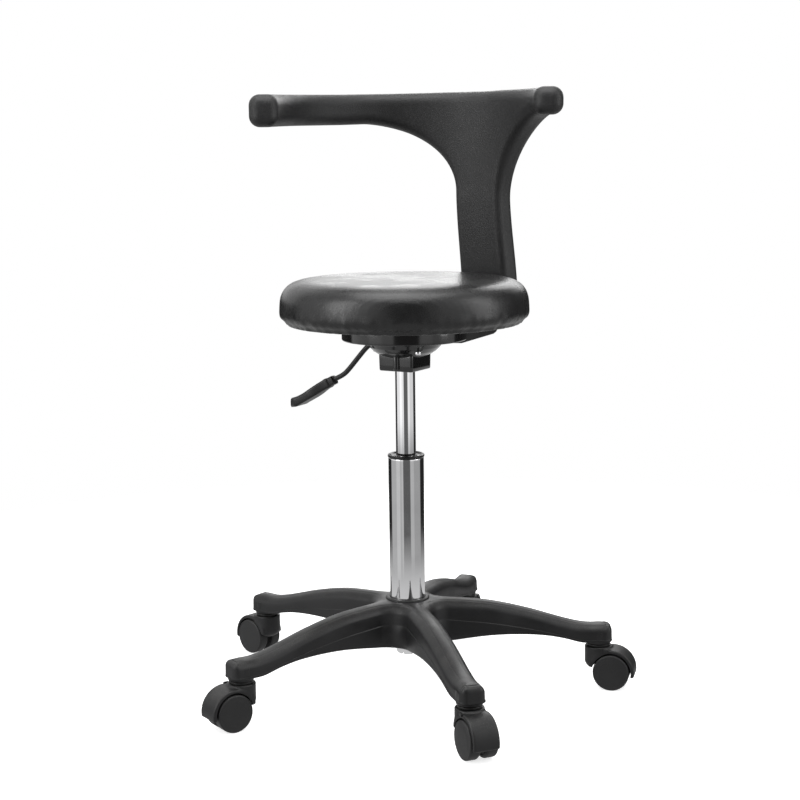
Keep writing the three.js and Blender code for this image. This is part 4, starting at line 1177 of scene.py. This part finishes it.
# %% Castor body
WHEEL_TRAIL = 20.0
AXLE_HEIGHT = 26.0
HOOD_RADIUS = 33.0
HOOD_HALF_WIDTH = 18.5
HOOD_BACK_HEIGHT = 19.7
HOOD_FRONT_HEIGHT = 33.0
WELL_RADIUS = 28.2
WEB_HALF_WIDTH = 3.9
WEB_BOTTOM = 24.0
AXLE_BOSS_RADIUS = 6.5
HOUSING_RADIUS = 19.5
HOUSING_HEIGHTS = (27.0, 61.5)
HOUSING_ROUND_START = 39.0
HOUSING_ROUND_STEEPNESS = 1.55


def castor_field(points):
    """The castor's field: x runs the way the wheels trail and the stem is at x = 0."""
    x, y, z = points.T
    from_axle = np.hypot(x - WHEEL_TRAIL, z - AXLE_HEIGHT)
    outline = from_axle - HOOD_RADIUS
    lower_back = (HOOD_BACK_HEIGHT - z) * 0.98
    lower_front = (HOOD_FRONT_HEIGHT - z) * 0.95
    under = np.where(x > 8, lower_back, lower_front)
    outline = meet(outline, under, 2.2)
    hood = meet(outline, slab(y, -HOOD_HALF_WIDTH, HOOD_HALF_WIDTH), 2.6)
    well = meet(from_axle - WELL_RADIUS, WEB_HALF_WIDTH - np.abs(y), 0.8)
    gap = np.maximum(np.abs(y) - WEB_HALF_WIDTH - 1.1, from_axle - WELL_RADIUS + 0.4)
    gap = np.maximum(gap, np.maximum(z - WEB_BOTTOM, AXLE_BOSS_RADIUS - from_axle))
    hood = np.maximum(np.maximum(hood, -well), -gap)
    housing = meet(np.hypot(x, y) - HOUSING_RADIUS, slab(z, *HOUSING_HEIGHTS), 1.4)
    below = np.minimum(z - HOUSING_ROUND_START, 0) * HOUSING_ROUND_STEEPNESS
    lower_corner = np.hypot(np.hypot(x, y), below) - HOUSING_RADIUS
    housing = meet(np.maximum(housing, lower_corner), WELL_RADIUS + 0.4 - from_axle, 0.6)
    return melt(hood, housing, 4.0)


body_points, body_faces = skin_of(castor_field, (-22, -22, 15), (57, 22, 65), 1.1)
latch = rounded_box((10.0, -19.9, 56.0), (17.0, -17.2, 60.2), 0.7)
print("castor body:", len(body_faces), "faces")

# %% Castors in place
WHEEL = [(0, 4.6, 0), (6.5, 4.6, 0.5), (6.5, 6.0, 0.5), (20.5, 6.0, 0.8), (22, 4.6, 0.6), (24.6, 4.6, 1.4),
         (26, 6.8, 1.2), (26, 17.2, 2.0), (25.6, 19.4, 1.6), (24.0, 20.3, 0.6), (23.5, 20.0, 0.4),
         (17, 20.8, 6), (0, 21.5, 0)]
wheel_line = rounded_line(WHEEL, 4)
STEM = [(0, 38, 0), (3, 38, 0.5), (3, 53, 0.3), (5.5, 53, 0.6), (5.5, 61.8, 0.2), (15.9, 61.8, 0.5),
        (16.5, 62.8, 0.4), (16.5, 65.0, 0.5), (15.8, 65.6, 0.3), (5.5, 65.6, 0.2), (5.5, 85, 0.6), (0, 85, 0)]
stem_line = rounded_line(STEM, 3)
AXLE = rounded_line([(0, -18.2, 0), (3, -18.2, 0.5), (3, 18.2, 0.5), (0, 18.2, 0)], 3)

for number, (stem, trail) in enumerate(CASTORS, 1):
    offset = (stem - AXIS) / MM
    body_piece = new_piece(f"castor_fork_{number}", [turned((body_points, body_faces), trail, offset)])
    settle(body_piece, f"castor_{number}", [f"castor_body_{number}"], castor_nylon)
    latch_piece = new_piece(f"castor_latch_{number}", [turned(latch, trail, offset)])
    settle(latch_piece, f"castor_{number}", [f"castor_body_{number}"], grip_nylon)
    stem_piece = new_piece(f"castor_collar_{number}", [turned(lathe(stem_line, 56), trail, offset)])
    settle(stem_piece, "base", [f"castor_stem_{number}"], collar_black)
    axle_points, axle_faces = lathe(AXLE, 24)
    lying = axle_points[:, [0, 2, 1]] + np.array([WHEEL_TRAIL, 0, AXLE_HEIGHT])
    axle_piece = new_piece(f"castor_axle_pin_{number}", [turned((lying, axle_faces), trail, offset)])
    settle(axle_piece, f"castor_{number}", [f"castor_axle_{number}"], zinc_plate)
    for side, sign in (("left", 1), ("right", -1)):
        wheel_points, wheel_faces = lathe(wheel_line, 72)
        upright = wheel_points[:, [0, 2, 1]] * np.array([1, sign, 1]) + np.array([WHEEL_TRAIL, 0,
                                                                                  AXLE_HEIGHT])
        wheel_piece = new_piece(f"wheel_{side}_disc_{number}",
                                [turned((upright, wheel_faces), trail, offset)])
        settle(wheel_piece, f"wheel_{side}_{number}", [f"castor_wheel_{side}_{number}"],
               wheel_nylon)

# %% [markdown]
# ## The torso support
# The support is integral-skin foam moulded round a steel core: a bar bent on an arc, and a post that flares
# into it with two long fillets. Its field is worked out flat, as length along the arc, height and depth, and
# the finished skin is then bent round the arc's axis. The post's foot leans out a little to clear the seat.

# %% Support skin
BAR_LOW, BAR_HIGH = math.radians(-10.8), math.radians(183.8)
LEFT_FLARE = (44.5, 158.0, 100.0, 804.6)
RIGHT_FLARE = (38.0, 118.0, 125.0, 812.0)
POST_REACH = (-150.0, 215.0)
POST_THICKNESS, BAR_THICKNESS = 34.0, 41.0
POST_EDGE, BAR_EDGE = 11.0, 15.0
POST_FOOT = 528.0
BAR_EDGE_TABLE = np.array([(-10, 810.2, 848.8), (14, 813.0, 848.8), (24, 811.6, 848.9), (41, 810.2, 849.0),
                           (54, 808.8, 848.4), (76, 806.6, 848.2), (97, 804.6, 847.4), (119, 802.6, 846.5),
                           (145, 801.4, 845.4), (183, 798.2, 842.8)])


def bar_edges(length_along):
    """Lowest and highest edge of the bar at an arc length from the post, interpolated in straight lines from
    a short table.
    """
    angle = np.degrees(POST_TURN + length_along / SUPPORT_RADIUS)
    return np.interp(angle, BAR_EDGE_TABLE[:, 0], BAR_EDGE_TABLE[:, 1]), np.interp(
        angle, BAR_EDGE_TABLE[:, 0], BAR_EDGE_TABLE[:, 2])


def flare_side(along, height, half, width, depth, top):
    """Distance to one side of the post: upright below, then a quarter ellipse that ends level at `top`. With
    x and z counted from the ellipse's middle and divided by its half axes a and b, the size of that point is
    k, and k (1 - k) / |(x / a, z / b)| is close to the distance to the ellipse."""
    across = np.minimum(along - half - width, -0.1) / width
    up = np.maximum(height - top + depth, 0) / depth
    size = np.hypot(across, up)
    return size * (1 - size) / np.hypot(across / width, up / depth)


def support_field(points):
    """The support's field, unrolled: x is the length along the arc, y the depth and z the height."""
    x, y, z = points.T
    low, high = bar_edges(x)
    start = (BAR_LOW - POST_TURN) * SUPPORT_RADIUS
    stop = (BAR_HIGH - POST_TURN) * SUPPORT_RADIUS
    bar = meet(slab(x, start, stop), slab(z, low, high), BAR_EDGE)
    sides = np.maximum(flare_side(x, z, *LEFT_FLARE), flare_side(-x, z, *RIGHT_FLARE))
    post = np.maximum(np.maximum(sides, slab(x, *POST_REACH)), slab(z, POST_FOOT - 200, high))
    blend = (10.0 + 4.0 * smooth(-x, 0, 40)) * (1 - smooth(z, 818, 836))
    blend = 0.5 + blend * (1 - smooth(x, 110, 190)) * (1 - smooth(-x, 80, 135))
    plan = melt(bar, post, blend)
    thickness = POST_THICKNESS + (BAR_THICKNESS - POST_THICKNESS) * smooth(z, 700, 800)
    edge = POST_EDGE + (BAR_EDGE - POST_EDGE) * smooth(z, 690, 800)
    body = meet(plan, slab(y, -thickness / 2, thickness / 2), edge)
    return meet(body, POST_FOOT - z, 4.0)


CELL = 2.6
flat_points, support_faces = skin_of(
    support_field, ((BAR_LOW - POST_TURN) * SUPPORT_RADIUS - 6, -26, POST_FOOT - 6),
    ((BAR_HIGH - POST_TURN) * SUPPORT_RADIUS + 6, 26, 856), CELL)
lean = smooth(710 - flat_points[:, 2], 0, 170)
bend_reach = SUPPORT_RADIUS + POST_LEAN * lean + flat_points[:, 1]
bend_turn = POST_TURN + (flat_points[:, 0] - 4.0 * lean) / SUPPORT_RADIUS
support_points = np.column_stack([SUPPORT_MIDDLE[0] + bend_reach * np.cos(bend_turn),
                                  SUPPORT_MIDDLE[1] + bend_reach * np.sin(bend_turn), flat_points[:, 2]])
support_piece = new_piece("torso_support_skin", [(support_points, support_faces)])
settle(support_piece, "arm", ["torso_support"], support_skin)

# %% [markdown]
# ## The seat cushion
# The cushion is foam under artificial leather, stapled to the board's underside, so the cover is tight, the
# shoulder is full, and short tension folds run up from the staples. The pad starts as a lathe shape a few
# millimetres small. Cloth simulation with pressure fills it, its movement is capped, and the part round the
# board is held. The folds are added afterwards, because the remesh would remove them.

# %% Cushion
PAD_LIP = [(0, 543.6, 0), (158.4, 543.6, 1.5), (158.4, 527.9, 0.8), (164.2, 527.7, 1.2), (164.2, 534.0, 1.0)]
PAD_SIDE = [(167.6, 534.8), (172.6, 537.6), (174.0, 545), (173.6, 554), (172.7, 563), (169.6, 572),
            (163.4, 580), (154, 585.2), (138, 588.0), (110, 588.8), (60, 589.0), (0, 589.0)]
PAD_LIMIT = 1.2
SOFTENING = 24


def soften(values, pairs, rounds):
    """Averages each vertex's value with its neighbours' along the edges, again and again."""
    shares = np.bincount(pairs.ravel(), minlength=len(values))[:, None] + 1.0
    for _ in range(rounds):
        total = values.copy()
        np.add.at(total, pairs[:, 0], values[pairs[:, 1]])
        np.add.at(total, pairs[:, 1], values[pairs[:, 0]])
        values = total / shares
    return values


def simulate(pad):
    """Fills the pad: voxel remesh, then cloth under pressure for 20 frames. Returns where each vertex was
    before and how far the cloth moved it. No modifier stays on the pad."""
    bpy.context.view_layer.objects.active = pad
    remesh = pad.modifiers.new("remesh", "REMESH")
    remesh.mode = "VOXEL"
    remesh.voxel_size = 0.004
    bpy.ops.object.modifier_apply(modifier=remesh.name)
    start = np.zeros(len(pad.data.vertices) * 3, np.float32)
    pad.data.vertices.foreach_get("co", start)
    cloth = pad.modifiers.new("cloth", "CLOTH")
    cloth.settings.use_pressure = True
    cloth.settings.uniform_pressure_force = 4.0
    cloth.settings.effector_weights.gravity = 0.0
    cloth.settings.quality = 6
    cloth.settings.tension_stiffness = 25.0
    cloth.settings.bending_stiffness = 2.0
    for frame_number in range(1, 21):
        bpy.context.scene.frame_set(frame_number)
    settled = pad.evaluated_get(bpy.context.evaluated_depsgraph_get())
    moved = np.zeros(len(settled.data.vertices) * 3, np.float32)
    settled.data.vertices.foreach_get("co", moved)
    pad.modifiers.remove(cloth)
    bpy.context.scene.frame_set(1)
    start, moved = start.reshape(-1, 3), moved.reshape(-1, 3)
    return start.astype(float), moved.astype(float) - start


pad_line = np.concatenate([rounded_line(PAD_LIP, 5)[:-1], through([PAD_LIP[-1][:2]] + PAD_SIDE, 70)])
pad_points, pad_faces = lathe(pad_line, 160)
cushion_piece = new_piece("seat_cushion_pad", [(pad_points, pad_faces)])
start, shift = simulate(cushion_piece)
size_of = np.linalg.norm(shift, axis=1, keepdims=True)
shift *= np.minimum(1, PAD_LIMIT * MM / np.maximum(size_of, 1e-9))
pairs = np.zeros(len(cushion_piece.data.edges) * 2, np.int32)
cushion_piece.data.edges.foreach_get("vertices", pairs)
shift = soften(shift, pairs.reshape(-1, 2), SOFTENING)
reach = np.hypot(*(start - AXIS)[:, :2].T) / MM
free = np.where((reach < 161.5) & (start[:, 2] / MM < 548), 0.0, smooth(start[:, 2] / MM, 534, 546))
cushion_piece.data.vertices.foreach_set("co", (start + shift * free[:, None]).astype(np.float32).ravel())
cushion_piece.data.update()
print("cushion filled: largest move", round(float(size_of.max() / MM), 2), "mm")
finer = cushion_piece.modifiers.new("finer", "SUBSURF")
finer.levels = finer.render_levels = 1
bpy.context.view_layer.objects.active = cushion_piece
bpy.ops.object.modifier_apply(modifier=finer.name)

# %% Folds in the cover
places = np.zeros(len(cushion_piece.data.vertices) * 3, np.float32)
cushion_piece.data.vertices.foreach_get("co", places)
places = places.reshape(-1, 3).astype(float)
local = (places - AXIS) / MM
reach = np.hypot(local[:, 0], local[:, 1])
bearing = np.arctan2(local[:, 1], local[:, 0])
random = np.random.default_rng(7)
folds = np.zeros(len(local))
for count, strength in ((26, 0.5), (37, 0.45), (59, 0.35), (83, 0.2)):
    phase, drift = random.uniform(0, 2 * math.pi, 2)
    folds += strength * np.cos(count * bearing + phase + 0.8 * np.sin(3 * bearing + drift))
low_side = smooth(-local[:, 2], -556, -538) * smooth(reach, 160.5, 165)
swell = 0.35 * np.sin(2 * bearing + 1.0) * np.sin(reach / 46) + 0.25 * np.sin(5 * bearing + 0.3 + reach / 60)
rise = swell * smooth(reach, 8, 40) * (1 - smooth(reach, 120, 150)) * (local[:, 2] > 570)
local[:, :2] *= (1 + 0.6 * folds * low_side / np.maximum(reach, 1))[:, None]
local[:, 2] += rise
cushion_piece.data.vertices.foreach_set("co", (local * MM + AXIS).astype(np.float32).ravel())
cushion_piece.data.update()
cushion_piece.data.shade_smooth()
settle(cushion_piece, "seat", ["seat_cushion"], seat_leather)
print("cushion reaches", round(float(reach.max()), 1), "mm and", round(float(local[:, 2].max()), 1), "mm up")
